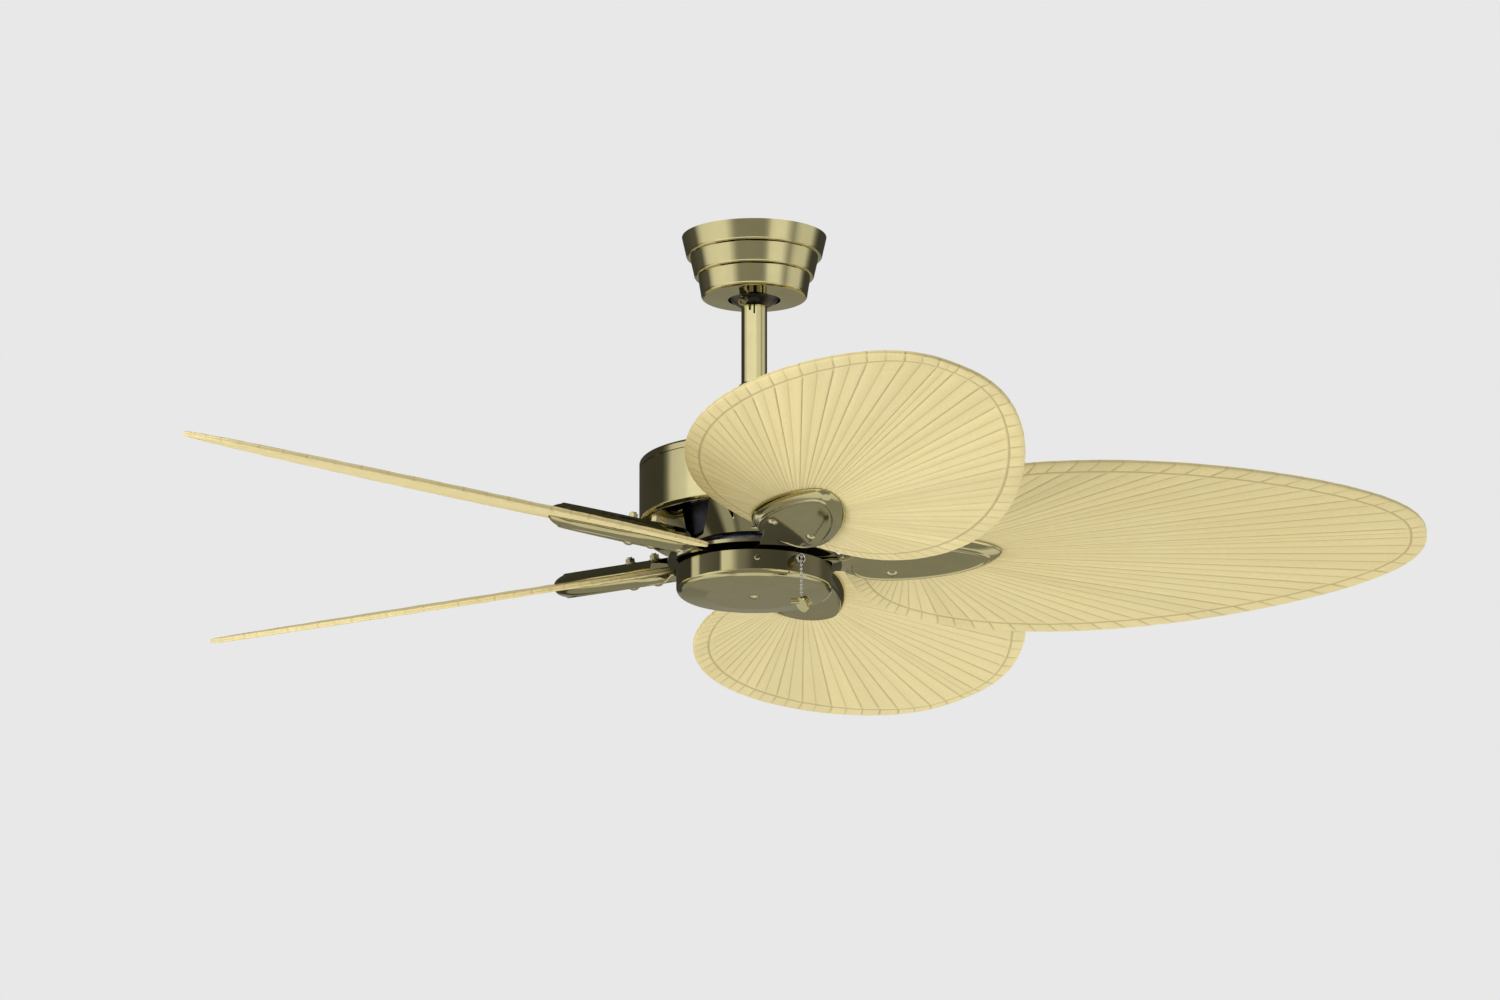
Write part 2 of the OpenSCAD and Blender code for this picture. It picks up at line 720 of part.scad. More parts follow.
module coupling_screws() color(steel)
    for (a = set_screw_turns) rotate([0, 0, a])
        translate([rod_d / 2 + 2 * hole_gap, 0, socket_top - set_screw_drop]) rotate([0, 90, 0])
            difference() {
                cylinder(d = set_screw_d, h = set_screw_l, $fn = small);
                translate([0, 0, set_screw_l - 3]) cylinder(d = set_screw_d * 0.57, h = 3 + cut, $fn = 6);
            }

module coupling_cover() color(brass) {
    shoulder_r = cover_neck + cover_shoulder;
    shoulder_z = cover_top - cover_shoulder;
    profile = concat(
        [[cover_neck, motor_top + cover_top]],
        [[shoulder_r - 2, motor_top + shoulder_z + 2]],
        arc([shoulder_r + 2 - cover_round, motor_top + shoulder_z - 4.6], cover_round, 40, 0, 4),
        [[cover_foot_r - 1, motor_top + cover_gap + cover_foot_h], [cover_foot_r, motor_top + cover_gap]]);
    inner = [for (p = profile) [max(p[0] - sheet_t, cover_neck), max(p[1] - sheet_t, motor_top + cover_gap)]];
    rotate_extrude($fn = fine) polygon(concat(profile, reverse(inner)));
}

// ---------------------------------------------------------------- motor housing

module housing_cap() color(brass) {
    skirt_r = motor_r - sheet_t - cap_gap;
    skirt_end = seam_z - cap_skirt;
    profile = concat(
        [[shaft_r + shaft_gap, motor_top]],
        arc([motor_r - cap_corner, motor_top - cap_corner], cap_corner, 90, 0),
        [[motor_r, seam_z + seam_gap], [motor_r - seam_depth, seam_z + seam_gap],
         [motor_r - seam_depth, seam_z], [skirt_r, seam_z], [skirt_r, skirt_end],
         [skirt_r - sheet_t, skirt_end], [skirt_r - sheet_t, motor_top - cap_t - cap_corner],
         [skirt_r - sheet_t + cap_gap - cap_corner, motor_top - cap_t],
         [shaft_r + shaft_gap, motor_top - cap_t]]);
    difference() {
        rotate_extrude($fn = fine) polygon(profile);
        at_cap_screws() translate([0, 0, motor_top - cap_t - cut])
            cylinder(d = cap_screw_d + 2 * hole_gap, h = cap_t + 2 * cut, $fn = small);
    }
}

module cap_screws() color(steel)
    at_cap_screws() {
        translate([0, 0, motor_top + flange_t]) rotate([180, 0, 0])
            domed_screw(cap_screw_d, flange_t + cap_t + cap_nut_h + 2 * hole_gap, screw_head, screw_dome);
        translate([0, 0, motor_top - cap_t - cap_nut_h]) difference() {
            cylinder(d = cap_nut_d, h = cap_nut_h, $fn = 6);
            translate([0, 0, -cut]) cylinder(d = cap_screw_d, h = cap_nut_h + 2 * cut, $fn = small);
        }
    }

module motor_housing() color(brass) {
    lip_centre = [motor_r - lip_round, lip_z + lip_round];
    rotate_extrude($fn = fine) polygon(concat(
        [[motor_r, seam_z]],
        arc(lip_centre, lip_round, 0, -90),
        [[flange_in, lip_z], [flange_in, lip_z + sheet_t]],
        arc(lip_centre, lip_round - sheet_t, -90, 0),
        [[motor_r - sheet_t, seam_z]]));
}

// A plan with straight sides and corners given as [radius, angle]
module polar_plan(corners) {
    polygon([for (p = corners) p[0] * [cos(p[1]), sin(p[1])]]);
}

// Plan of one swept vent window, widest at the outer edge, and of the narrow slot beside it
module vent_plan() {
    intersection() {
        polar_plan([[window_out + 4, -132], [window_out + 4, -114], [window_in, -139], [window_in, -166]]);
        circle(r = window_out, $fn = fine);
    }
    polar_plan([[slot_in, -105.6], [slot_out, -107.4], [slot_out, -102.6], [slot_in, -104.8]]);
}

module vented_cover() color(brass) {
    seat_z = lip_z + sheet_t;
    rim_r = motor_r - lip_round;
    profile = [[rim_r, seat_z], [cone_r, seat_z], [vent_r, vent_z],
        [vent_r, vent_z + vent_t], [cone_r - 1, seat_z + vent_t], [rim_r, seat_z + vent_t]];
    difference() {
        rotate_extrude($fn = fine) polygon(profile);
        for (i = [0:vent_count - 1]) rotate([0, 0, 360 * i / vent_count])
            translate([0, 0, vent_z - cut])
                linear_extrude(height = seat_z - vent_z - sheet_t / 2 + cut) vent_plan();
    }
}

// ---------------------------------------------------------------- shaft, stator and rotor

module main_shaft() color(steel)
    difference() {
        union() {
            translate([0, 0, shaft_bottom]) cylinder(d = shaft_d, h = shaft_top - shaft_bottom, $fn = fine);
            translate([0, 0, plate_z]) cylinder(r = collar_r, h = collar_h, $fn = fine);
        }
        translate([0, 0, shaft_bottom - cut])
            cylinder(d = shaft_bore, h = shaft_top - shaft_bottom + 2 * cut, $fn = fine);
    }

module stator_core() color(steel)
    difference() {
        ring(stator_d / 2, shaft_r, stator_bottom, stator_h);
        for (i = [0:slot_count - 1]) rotate([0, 0, 360 * i / slot_count]) {
            translate([stator_d / 4, -slot_w / 2, stator_bottom - cut])
                cube([stator_d / 4 - tooth_t, slot_w, stator_h + 2 * cut]);
            translate([stator_d / 4, -slot_mouth / 2, stator_bottom - cut])
                cube([stator_d / 4 + cut, slot_mouth, stator_h + 2 * cut]);
        }
    }

module stator_windings() color(copper)
    for (z = [stator_top, stator_bottom - winding_h])
        translate([0, 0, z]) rotate_extrude($fn = fine)
            translate([stator_d / 4 + 1, 0]) square([stator_d / 4 - tooth_t - 2, winding_h]);

module bearing(z) {
    r_in = shaft_r + run_gap;
    ring(r_in + bearing_land, r_in, z, bearing_h);
    ring(bearing_r, bearing_r - bearing_land, z, bearing_h);
    ring(bearing_r - bearing_land, r_in + bearing_land, z + shield_in, bearing_h - 2 * shield_in);
}

module upper_bearing() color(steel) bearing(upper_bearing_z);
module lower_bearing() color(steel) bearing(lower_bearing_z);

module rotor_ring() color(dark_steel)
    ring(rotor_r - rotor_skin, ring_in, stator_bottom, stator_h);

module rotor_top() color(steel) {
    boss_r = bearing_r + bearing_wall;
    web_top = rotor_web + web_t;
    rotate_extrude($fn = fine) polygon([
        [bearing_r, upper_bearing_z], [boss_r, upper_bearing_z], [boss_r, rotor_web],
        [rotor_r - rotor_skin, rotor_web], [rotor_r - rotor_skin, rotor_seam], [rotor_r, rotor_seam],
        [rotor_r, web_top - web_corner], [rotor_r - web_corner, web_top], [bearing_r, web_top]]);
}

module rotor_bottom() color(steel) {
    boss_r = bearing_r + bearing_wall;
    cone_top = stator_bottom - cone_drop;
    hub_in = rotor_hub_r - rotor_hub_w;
    difference() {
        rotate_extrude($fn = fine) polygon([
            [bearing_r, lower_bearing_z + bearing_h], [bearing_r, rotor_floor], [hub_in, rotor_floor],
            [hub_in, flywheel_top], [rotor_hub_r, flywheel_top], [rotor_hub_r, rotor_floor],
            [rotor_hub_r + rotor_skin, rotor_floor], [rotor_r, cone_top], [rotor_r, rotor_seam],
            [rotor_r - rotor_skin, rotor_seam], [rotor_r - rotor_skin, cone_top + rotor_skin / 2],
            [rotor_hub_r + rotor_skin / 2, rotor_floor + rotor_skin], [boss_r, rotor_floor + rotor_skin],
            [boss_r, lower_bearing_z + bearing_h]]);
        at_hub_screws() translate([0, 0, flywheel_top - cut])
            cylinder(d = hub_screw_d + hole_gap, h = hub_screw_in + 1 + cut, $fn = small);
    }
}

// ---------------------------------------------------------------- flywheel, irons and blades

module flywheel() color(brass)
    difference() {
        ring(flywheel_d / 2, flywheel_bore, flywheel_bottom, flywheel_t);
        for (k = [0:blade_count - 1])
            at_arm(k) at_arm_screws() translate([0, 0, flywheel_bottom - cut])
                cylinder(d = iron_screw_d + hole_gap, h = flywheel_t + 2 * cut, $fn = small);
        at_hub_screws() translate([0, 0, flywheel_bottom - cut])
            cylinder(d = hub_screw_d + 2 * hole_gap, h = flywheel_t + 2 * cut, $fn = small);
    }

module flywheel_screws() color(steel)
    at_hub_screws() translate([0, 0, flywheel_bottom])
        domed_screw(hub_screw_d, flywheel_t + hub_screw_in, screw_head, screw_dome);

module iron_screws() color(bright_brass)
    for (k = [0:blade_count - 1]) at_arm(k) at_arm_screws() translate([0, 0, arm_bottom])
        domed_screw(iron_screw_d, arm_t + flywheel_t, iron_screw_head, iron_screw_dome);

// Half-width of the leaf shaped blade at the fraction u of its length, before scaling
function leaf_width(u) = sqrt(u) * pow(1 - u, 0.413) * (1 - 0.443 * u);
leaf_peak = max([for (i = [0:200]) leaf_width(i / 200)]);

function leaf_side(steps) = [for (i = [0:steps])
    let (r = blade_root + (tip_r - blade_root) * (1 - cos(180 * i / steps)) / 2,
         u = (r - blade_start) / (tip_r - blade_start))
        [r, blade_w / 2 * leaf_width(min(u, 1)) / leaf_peak]];

module leaf_blade(k) color(leaf_cream) at_blade(k) {
    steps = 40;
    side = leaf_side(steps);
    difference() {
        translate([0, 0, -blade_pad]) linear_extrude(height = blade_t)
            polygon(concat(side, [for (i = [steps - 1:-1:0]) [side[i][0], -side[i][1]]]));
        at_bolts() translate([0, 0, -blade_t])
            cylinder(d = bolt_d + 2 * hole_gap, h = 2 * blade_t, $fn = small);
    }
}

// Plan of an iron's pointed pan between two radii
function pan_width(u) = pow(u, 0.462) * pow(1 - u, 0.757);
pan_peak = max([for (i = [0:100]) pan_width(i / 100)]);

module pan_plan(from, to, w, steps = 16) {
    side = [for (i = [1:steps - 1])
        let (u = (1 - cos(180 * i / steps)) / 2)
            [from + (to - from) * u, w / 2 * pan_width(u) / pan_peak]];
    polygon(concat([[from, 0]], side, [[to, 0]], [for (p = reverse(side)) [p[0], -p[1]]]));
}

module slab(z) {
    translate([0, 0, z]) linear_extrude(height = skin) children();
}

// A dished pan that opens upwards: its flat face below, its rim against the blade
module pan() {
    face_from = iron_root + face_in;
    face_to = iron_tip - face_out;
    face_w = iron_w - 2 * iron_bevel;
    difference() {
        hull() {
            slab(-iron_face) pan_plan(face_from, face_to, face_w);
            slab(-blade_pad - skin) pan_plan(iron_root, iron_tip, iron_w);
        }
        hull() {
            slab(iron_t - iron_face) pan_plan(face_from + 2, face_to - 1, face_w - 3);
            slab(-blade_pad) pan_plan(iron_root + 3, iron_tip - 4, iron_w - 6);
        }
    }
    at_bolts() translate([0, 0, iron_t - iron_face - skin])
        cylinder(d = boss_d, h = iron_depth - iron_t + skin, $fn = small);
}

module bolt_holes() {
    at_bolts() translate([0, 0, -iron_face - cut])
        cylinder(d = bolt_d + 2 * hole_gap, h = iron_depth + 2 * cut, $fn = small);
}

// Plan of the arm's flat part: round at its inner end
module arm_plan() {
    corner = arm_inner + arm_w / 5;
    polygon(concat(arc([arm_inner + arm_w * 0.4, 0], arm_w / 2, 127, 233, 12),
        [[corner, -arm_w / 2], [arm_outer, -arm_w / 2], [arm_outer, arm_w / 2], [corner, arm_w / 2]]));
}

module blade_iron(k) color(brass) at_arm(k)
    difference() {
        union() {
            tilt() pan();
            translate([0, 0, arm_bottom]) linear_extrude(height = arm_t) arm_plan();
            // the neck twists from the flat arm to the slope of the pan
            hull() {
                translate([arm_outer - cut / 2, -arm_w / 2, arm_bottom]) cube([cut / 2, arm_w, arm_t]);
                tilt() translate([neck_r + 2, 0, -iron_face]) linear_extrude(height = arm_t)
                    polygon([[neck_skew, -neck_w / 2], [-neck_skew, neck_w / 2],
                        [1 - neck_skew, neck_w / 2], [1 + neck_skew, -neck_w / 2]]);
            }
        }
        tilt() bolt_holes();
        at_arm_screws() translate([0, 0, arm_bottom - cut])
            cylinder(d = iron_screw_d + 2 * hole_gap, h = arm_t + 2 * cut, $fn = small);
    }

module blade_plate(k) color(brass)
    at_blade(k) mirror([0, 0, 1]) difference() {
        pan();
        bolt_holes();
    }

module blade_bolts() color(bright_brass)
    for (k = [0:blade_count - 1]) at_blade(k) at_bolts() translate([0, 0, -iron_face])
        domed_screw(bolt_d, 2 * iron_face + washer_t + nut_h + bolt_end, bolt_head, bolt_dome);

module blade_nuts() color(bright_brass)
    for (k = [0:blade_count - 1]) at_blade(k) at_bolts() translate([0, 0, iron_face]) difference() {
        union() {
            cylinder(d = washer_d, h = washer_t, $fn = small);
            translate([0, 0, washer_t]) cylinder(d = nut_d, h = nut_h, $fn = 6);
        }
        translate([0, 0, -cut]) cylinder(d = bolt_d, h = washer_t + nut_h + 2 * cut, $fn = small);
    }

// ---------------------------------------------------------------- switch housing

module switch_plate() color(steel)
    difference() {
        union() {
            ring(plate_r, shaft_r + hole_gap, plate_z - plate_t, plate_t);
            for (a = side_turns) rotate([0, 0, a])
                translate([plate_r - tab_t - 1, -tab_w / 2, plate_z - plate_t - tab_h])
                    cube([tab_t, tab_w, tab_h]);
        }
        for (a = side_turns)
            radial(a, side_screw_z, plate_r - tab_t - 2 * cut, plate_r + cut, side_screw_d);
    }

module shaft_nut() color(steel)
    translate([0, 0, plate_z - plate_t - shaft_nut_h]) difference() {
        cylinder(d = shaft_nut_d, h = shaft_nut_h, $fn = 6);
        translate([0, 0, -cut]) cylinder(d = shaft_d, h = shaft_nut_h + 2 * cut, $fn = fine);
    }

module switch_housing() color(brass) {
    hole_r = centre_screw_d / 2 + 2 * hole_gap;
    slot_l = slider_travel + knob_w + 2.5 * knob_gap;
    slot_h = knob_h + 3.5 * knob_gap;
    profile = concat(
        [[switch_r, switch_top], [switch_r, switch_wall_end]],
        arc([switch_r - switch_corner, switch_wall_end], switch_corner, -8, -68),
        [[switch_flat_r, switch_bottom], [hole_r, switch_bottom]]);
    difference() {
        shell(profile, [-sheet_t, sheet_t], hole_r, switch_top);
        for (a = side_turns)
            radial(a, side_screw_z, plate_r - tab_t, switch_r + cut, side_screw_d + 4 * hole_gap);
        radial(chain_turn, ferrule_z, plate_r - tab_t, switch_r + cut, ferrule_d + 2 * hole_gap);
        rotate([0, 0, reverse_turn]) translate([switch_r - 2 * sheet_t, -slot_l / 2, ferrule_z - slot_h / 2])
            cube([2 * sheet_t + cut, slot_l, slot_h]);
    }
}

module housing_screws() color(bright_brass)
    for (a = side_turns) rotate([0, 0, a]) translate([switch_r, 0, side_screw_z]) rotate([0, -90, 0])
        domed_screw(side_screw_d, sheet_t + plate_gap + tab_t + 2.7, side_screw_head, side_screw_dome);

module centre_screw() color(bright_brass) {
    translate([0, 0, switch_bottom])
        domed_screw(centre_screw_d, centre_screw_l, centre_screw_head, screw_dome);
    translate([0, 0, switch_bottom + sheet_t]) difference() {
        cylinder(d = centre_nut_d, h = centre_nut_h, $fn = 6);
        translate([0, 0, -cut]) cylinder(d = centre_screw_d, h = centre_nut_h + 2 * cut, $fn = small);
    }
}

module capacitor() color(black_plastic)
    translate([capacitor_from[0], capacitor_from[1], plate_z - plate_t - box_h])
        cube([capacitor_l, box_w, box_h]);

module pull_switch() color(black_plastic) {
    body_to = switch_r - sheet_t - 4;
    nose_to = ferrule_from - hole_gap;
    rotate([0, 0, chain_turn]) difference() {
        union() {
            translate([pull_from, -box_w / 2, plate_z - plate_t - box_h])
                cube([body_to - pull_from, box_w, box_h]);
            translate([pull_from, 0, ferrule_z]) rotate([0, 90, 0])
                cylinder(d = nose_d, h = nose_to - pull_from, $fn = small);
        }
        translate([pull_from + 6, 0, ferrule_z]) rotate([0, 90, 0])
            cylinder(d = ferrule_bore, h = nose_to - pull_from, $fn = small);
    }
}

module chain_ferrule() color(bright_brass)
    rotate([0, 0, chain_turn]) translate([ferrule_from, 0, ferrule_z]) rotate([0, 90, 0]) difference() {
        cylinder(d = ferrule_d, h = ring_face - ring_l - ferrule_from, $fn = 48);
        translate([0, 0, -cut]) cylinder(d = ferrule_bore, h = 2 * ring_face, $fn = small);
    }

module ferrule_ring() color([0.8, 0.8, 0.8])
    rotate([0, 0, chain_turn]) difference() {
        translate([ring_face - ring_l, 0, ferrule_z]) rotate([0, 90, 0]) rotate_extrude($fn = 48)
            polygon(concat([[ring_bore / 2, 0], [ring_d / 2 - 1, 0]],
                arc([ring_d / 2 - ring_round, ring_l - ring_round], ring_round, 0, 120, 5),
                [[ring_bore / 2, ring_l - 2 * ring_round]]));
        // channel that the beads run down through
        translate([chain_r, 0, ferrule_z - ring_d])
            cylinder(d = channel_d, h = ring_d + channel_up, $fn = small);
        translate([chain_r, -channel_d / 2, ferrule_z - ring_d]) cube([ring_l, channel_d, ring_d]);
    }

module pull_chain() color([0.85, 0.85, 0.84])
    rotate([0, 0, chain_turn]) translate([chain_r, 0, 0]) {
        for (i = [0:bead_count - 1])
            translate([0, 0, first_bead - i * bead_pitch]) sphere(d = bead_d, $fn = 24);
        translate([0, 0, fob_top]) cylinder(d = wire_d, h = first_bead - fob_top, $fn = 16);
    }

// A ribbed round knob that hangs askew by its rim, with a short barrel on its face
module pull_fob() color(brass) {
    knob_r = fob_d / 2;
    rib = fob_t / 22;
    translate([chain_r * chain_x, chain_r * chain_y, fob_top]) {
        translate([fob_side, 0, -fob_drop]) rotate([0, 0, fob_turn]) rotate([0, fob_lean, 0])
            translate([0, 0, -fob_t / 2]) rotate_extrude($fn = 48) polygon(concat(
                [[0, rib_depth], [knob_r * 0.6, rib_depth], [knob_r * 0.7, 0], [knob_r - rib_depth, 0]],
                [for (i = [3, 10], p = [[0, 0], [0, 3], [1, 4], [1, 6]])
                    [knob_r - p[0] * rib_depth, rib * (i + p[1])]],
                [[knob_r, rib * 17], [knob_r, rib * 19], [knob_r - rib_depth, fob_t], [0, fob_t]]));
        translate([-barrel_l, 0, barrel_up - fob_drop]) rotate([0, 90, 0])
            cylinder(d = fob_barrel_d, h = barrel_l + fob_side, $fn = small);
    }
}

module reverse_switch() color(black_plastic)
    rotate([0, 0, reverse_turn]) difference() {
        translate([switch_r - reverse_box[0], -reverse_box[1] / 2, plate_z - plate_t - reverse_box[2]])
            cube([reverse_box[0] - sheet_t - 0.9, reverse_box[1], reverse_box[2]]);
        translate([switch_r - knob_l + sheet_t, -(slider_travel + knob_w) / 2 - knob_gap,
            ferrule_z - knob_h / 2 - knob_gap])
            cube([knob_l, slider_travel + knob_w + 2 * knob_gap, knob_h + 2 * knob_gap]);
    }

module reverse_slider() color(black_plastic)
    rotate([0, 0, reverse_turn])
        translate([switch_r + 1.5 - knob_l, (slider_travel - knob_w) / 2, ferrule_z - knob_h / 2])
            cube([knob_l, knob_w, knob_h]);

// ---------------------------------------------------------------- nodes

hanger_bracket();
canopy();
canopy_screws();
hanger_ball();
ball_pin();
ball_lock_screw();
ball_lock_nut();
downrod();
lead();
lead_plug();
coupling();
coupling_pin();
coupling_clip();
coupling_screws();
coupling_cover();
housing_cap();
cap_screws();
motor_housing();
vented_cover();
main_shaft();
stator_core();
stator_windings();
upper_bearing();
lower_bearing();
rotor_ring();
rotor_top();
rotor_bottom();
flywheel();
flywheel_screws();
iron_screws();
for (k = [0:blade_count - 1]) {
    leaf_blade(k);
    blade_iron(k);
    blade_plate(k);
}
blade_bolts();
blade_nuts();
switch_plate();
shaft_nut();
switch_housing();
housing_screws();
centre_screw();
capacitor();
pull_switch();
chain_ferrule();
ferrule_ring();
pull_chain();
pull_fob();
reverse_switch();
reverse_slider();
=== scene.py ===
"""Looks of the ceiling fan: palm leaf blades, pressed irons and brass finishes, in metres."""

import math

import bpy
import numpy as np
from mathutils import Matrix, Vector


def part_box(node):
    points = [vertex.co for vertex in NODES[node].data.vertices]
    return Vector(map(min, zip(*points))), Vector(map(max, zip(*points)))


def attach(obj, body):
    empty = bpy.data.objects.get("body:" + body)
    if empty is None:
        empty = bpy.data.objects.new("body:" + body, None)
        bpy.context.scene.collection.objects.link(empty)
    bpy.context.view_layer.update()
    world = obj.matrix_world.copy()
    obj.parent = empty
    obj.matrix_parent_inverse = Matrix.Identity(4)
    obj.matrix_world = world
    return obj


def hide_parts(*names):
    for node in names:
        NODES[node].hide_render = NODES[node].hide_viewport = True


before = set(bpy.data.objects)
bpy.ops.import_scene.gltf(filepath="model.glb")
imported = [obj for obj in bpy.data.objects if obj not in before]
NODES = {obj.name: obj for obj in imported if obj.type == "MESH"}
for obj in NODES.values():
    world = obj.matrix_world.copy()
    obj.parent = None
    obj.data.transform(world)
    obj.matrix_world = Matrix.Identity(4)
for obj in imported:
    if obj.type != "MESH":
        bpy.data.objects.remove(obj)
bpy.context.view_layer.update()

MM = 0.001

# Blades, in millimetres, in the blade's own frame: +X along it, +Z square to it
BLADE_COUNT = 5
BLADE_TURN = -72.8      # angle of the first blade
BLADE_PITCH = 17.6
BLADE_RISE = 1.8
BLADE_ROOT = 88.0
BLADE_TIP = 660.0
BLADE_WIDTH = 307.0
BLADE_THICK = 6.0
BLADE_LIFT = 3.0        # the blade plane above the flywheel's top, at the hub
LEAF_START = 72.0       # where the outline would close at the hub
ROOT_NARROWS = 0.48     # how much narrower than that outline the root's end is
ROOT_FADE = 9.5         # how fast that is lost outwards
RIB_FOCUS = 150.0       # the point that the ribs spread from
RIB_SPACING = 16.0      # across the ribs at the outline, on the long sides
RIB_CLOSE = 9.0         # the same, round the root
RIB_JITTER = 0.07       # how far a rib strays, as a share of the gap beside it
RING_INSET = 15.5       # from the outline to the cord ring

# Blade irons, in millimetres: a pan below the blade, a plate above it, and an arm to the flywheel
IRON_ROOT = 90.0
IRON_TIP = 243.5
IRON_WIDTH = 83.0
IRON_DEPTH = 8.8
IRON_THICK = 2.2
IRON_FACE = BLADE_THICK / 2 + IRON_DEPTH
ARM_WIDTH = 40.0
ARM_THICK = 3.2
ARM_EDGE = 0.7          # chamfer along the arm's edges
ARM_ROUND = 65.0        # centre of the arm's round inner end
ARM_STATIONS = (72.0, 80.0)     # sections of its straight part
NECK_START = 86.0       # where the flat arm ends and the twisted neck starts
NECK_ENDS = (112.0, 97.0)       # where the neck meets the pan, on its two sides
NECK_SPREAD = 2.0       # how much wider the neck is there, on each side
NECK_OVERLAP = 0.2      # how far the neck's end lies inside the pan's face

HUB_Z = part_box("flywheel")[1].z / MM + BLADE_LIFT
ARM_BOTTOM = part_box("flywheel")[0].z / MM - ARM_THICK

# Camera: nearly without perspective, looking up at the fan
CAMERA_TILT = math.radians(15.06)
CAMERA_DISTANCE = 21.1
CAMERA_RIGHT = 0.004157     # the hub's place in the picture, from its middle
CAMERA_UP = -0.05588
CAMERA_LENS = 516.5


# ---------------------------------------------------------------- camera

def make_camera():
    """The photograph's view: from the front, about 15 degrees below the fan."""
    data = bpy.data.cameras.new("camera")
    data.lens = CAMERA_LENS
    data.sensor_width = 36
    data.clip_start = 1
    data.clip_end = 100
    camera = bpy.data.objects.new("camera", data)
    bpy.context.scene.collection.objects.link(camera)
    right = Vector((1, 0, 0))
    up = Vector((0, -math.sin(CAMERA_TILT), math.cos(CAMERA_TILT)))
    ahead = Vector((0, math.cos(CAMERA_TILT), math.sin(CAMERA_TILT)))
    hub = Vector((0, 0, HUB_Z * MM))
    camera.location = hub - CAMERA_RIGHT * right - CAMERA_UP * up - CAMERA_DISTANCE * ahead
    camera.rotation_euler = (math.pi / 2 + CAMERA_TILT, 0, 0)
    bpy.context.scene.camera = camera


make_camera()


# ---------------------------------------------------------------- materials

def new_material(name):
    """A node material and its parts: (material, nodes, links, shader)."""
    material = bpy.data.materials.new(name)
    material.use_nodes = True
    tree = material.node_tree
    return material, tree.nodes, tree.links, tree.nodes["Principled BSDF"]


def coordinates(nodes, links, scale=(1, 1, 1)):
    """Object coordinates, scaled."""
    source = nodes.new("ShaderNodeTexCoord")
    mapping = nodes.new("ShaderNodeMapping")
    mapping.inputs["Scale"].default_value = scale
    links.new(source.outputs["Object"], mapping.inputs["Vector"])
    return mapping.outputs["Vector"]


def noise(nodes, links, vector, scale, detail=3.0, rough=0.5):
    """A noise texture's level, 0 to 1."""
    node = nodes.new("ShaderNodeTexNoise")
    node.inputs["Scale"].default_value = scale
    node.inputs["Detail"].default_value = detail
    node.inputs["Roughness"].default_value = rough
    links.new(vector, node.inputs["Vector"])
    return node.outputs["Fac"]


def ramp(nodes, links, value, stops):
    """A colour ramp with stops [(position, colour or grey level)]."""
    node = nodes.new("ShaderNodeValToRGB")
    elements = node.color_ramp.elements
    while len(elements) < len(stops):
        elements.new(0.5)
    for element, (position, colour) in zip(elements, stops):
        element.position = position
        grey = isinstance(colour, (int, float))
        element.color = (colour, colour, colour, 1) if grey else (*colour, 1)
    links.new(value, node.inputs["Fac"])
    return node.outputs["Color"]


def mix(nodes, links, fac, a, b, mode="MIX"):
    """Mixes two colours; each is a socket or an RGB triple."""
    node = nodes.new("ShaderNodeMix")
    node.data_type = "RGBA"
    node.blend_type = mode
    for socket, value in (("Factor", fac), ("A", a), ("B", b)):
        slot = next(s for s in node.inputs if s.name == socket and s.enabled)
        if isinstance(value, bpy.types.NodeSocket):
            links.new(value, slot)
        else:
            slot.default_value = value if socket == "Factor" else (*value, 1)
    return next(s for s in node.outputs if s.enabled)


def bump(nodes, links, shader, height, distance, strength):
    """Surface relief from a height; the distance is in metres."""
    node = nodes.new("ShaderNodeBump")
    node.inputs["Distance"].default_value = distance
    node.inputs["Strength"].default_value = strength
    links.new(height, node.inputs["Height"])
    links.new(node.outputs["Normal"], shader.inputs["Normal"])


def scaled(colour, factor):
    """A colour made brighter or darker."""
    return tuple(min(c * factor, 1.0) for c in colour)


def metal(name, colour, rough, mottle=0.12, scale=60.0, grain=0.00002, stretch=(1, 1, 1)):
    """A metal with faint mottling, an uneven polish and a fine surface grain."""
    material, nodes, links, shader = new_material(name)
    shader.inputs["Metallic"].default_value = 1.0
    shader.inputs["Specular Tint"].default_value = (1.0, 0.99, 0.86, 1)
    vector = coordinates(nodes, links, stretch)
    cloud = noise(nodes, links, vector, scale, 4.0, 0.6)
    colours = ramp(nodes, links, cloud, [(0.3, scaled(colour, 1 - mottle)),
                                         (0.7, scaled(colour, 1 + mottle / 2))])
    links.new(colours, shader.inputs["Base Color"])
    polish = noise(nodes, links, vector, scale * 3.1, 3.0)
    roughness = ramp(nodes, links, polish, [(0.25, rough * 0.75), (0.75, rough * 1.3)])
    links.new(roughness, shader.inputs["Roughness"])
    bump(nodes, links, shader, noise(nodes, links, vector, scale * 22, 2.0), grain, 0.5)
    return material


def plastic(name, colour, rough, mottle=0.1, scale=90.0):
    """A moulded plastic with a fine leather-like grain."""
    material, nodes, links, shader = new_material(name)
    shader.inputs["IOR"].default_value = 1.46
    vector = coordinates(nodes, links)
    cloud = noise(nodes, links, vector, scale, 3.0)
    colours = ramp(nodes, links, cloud, [(0.3, scaled(colour, 1 - mottle)),
                                         (0.7, scaled(colour, 1 + mottle))])
    links.new(colours, shader.inputs["Base Color"])
    shader.inputs["Roughness"].default_value = rough
    bump(nodes, links, shader, noise(nodes, links, vector, scale * 25, 2.0), 0.00004, 0.6)
    return material


DARK_CREAM, PALE_CREAM = (0.765, 0.655, 0.325), (0.835, 0.73, 0.385)      # along the fibres
BLEACHED = (0.84, 0.76, 0.47)
# painted shade: the colour that the valleys of the pleats darken to
FOLD_SHADE = (0.66, 0.555, 0.27)
# the brown of the lines, partly the leaf's own dark creases and partly painted shade in the grooves
# they lie in
LINE_BROWN = (0.36, 0.27, 0.13)


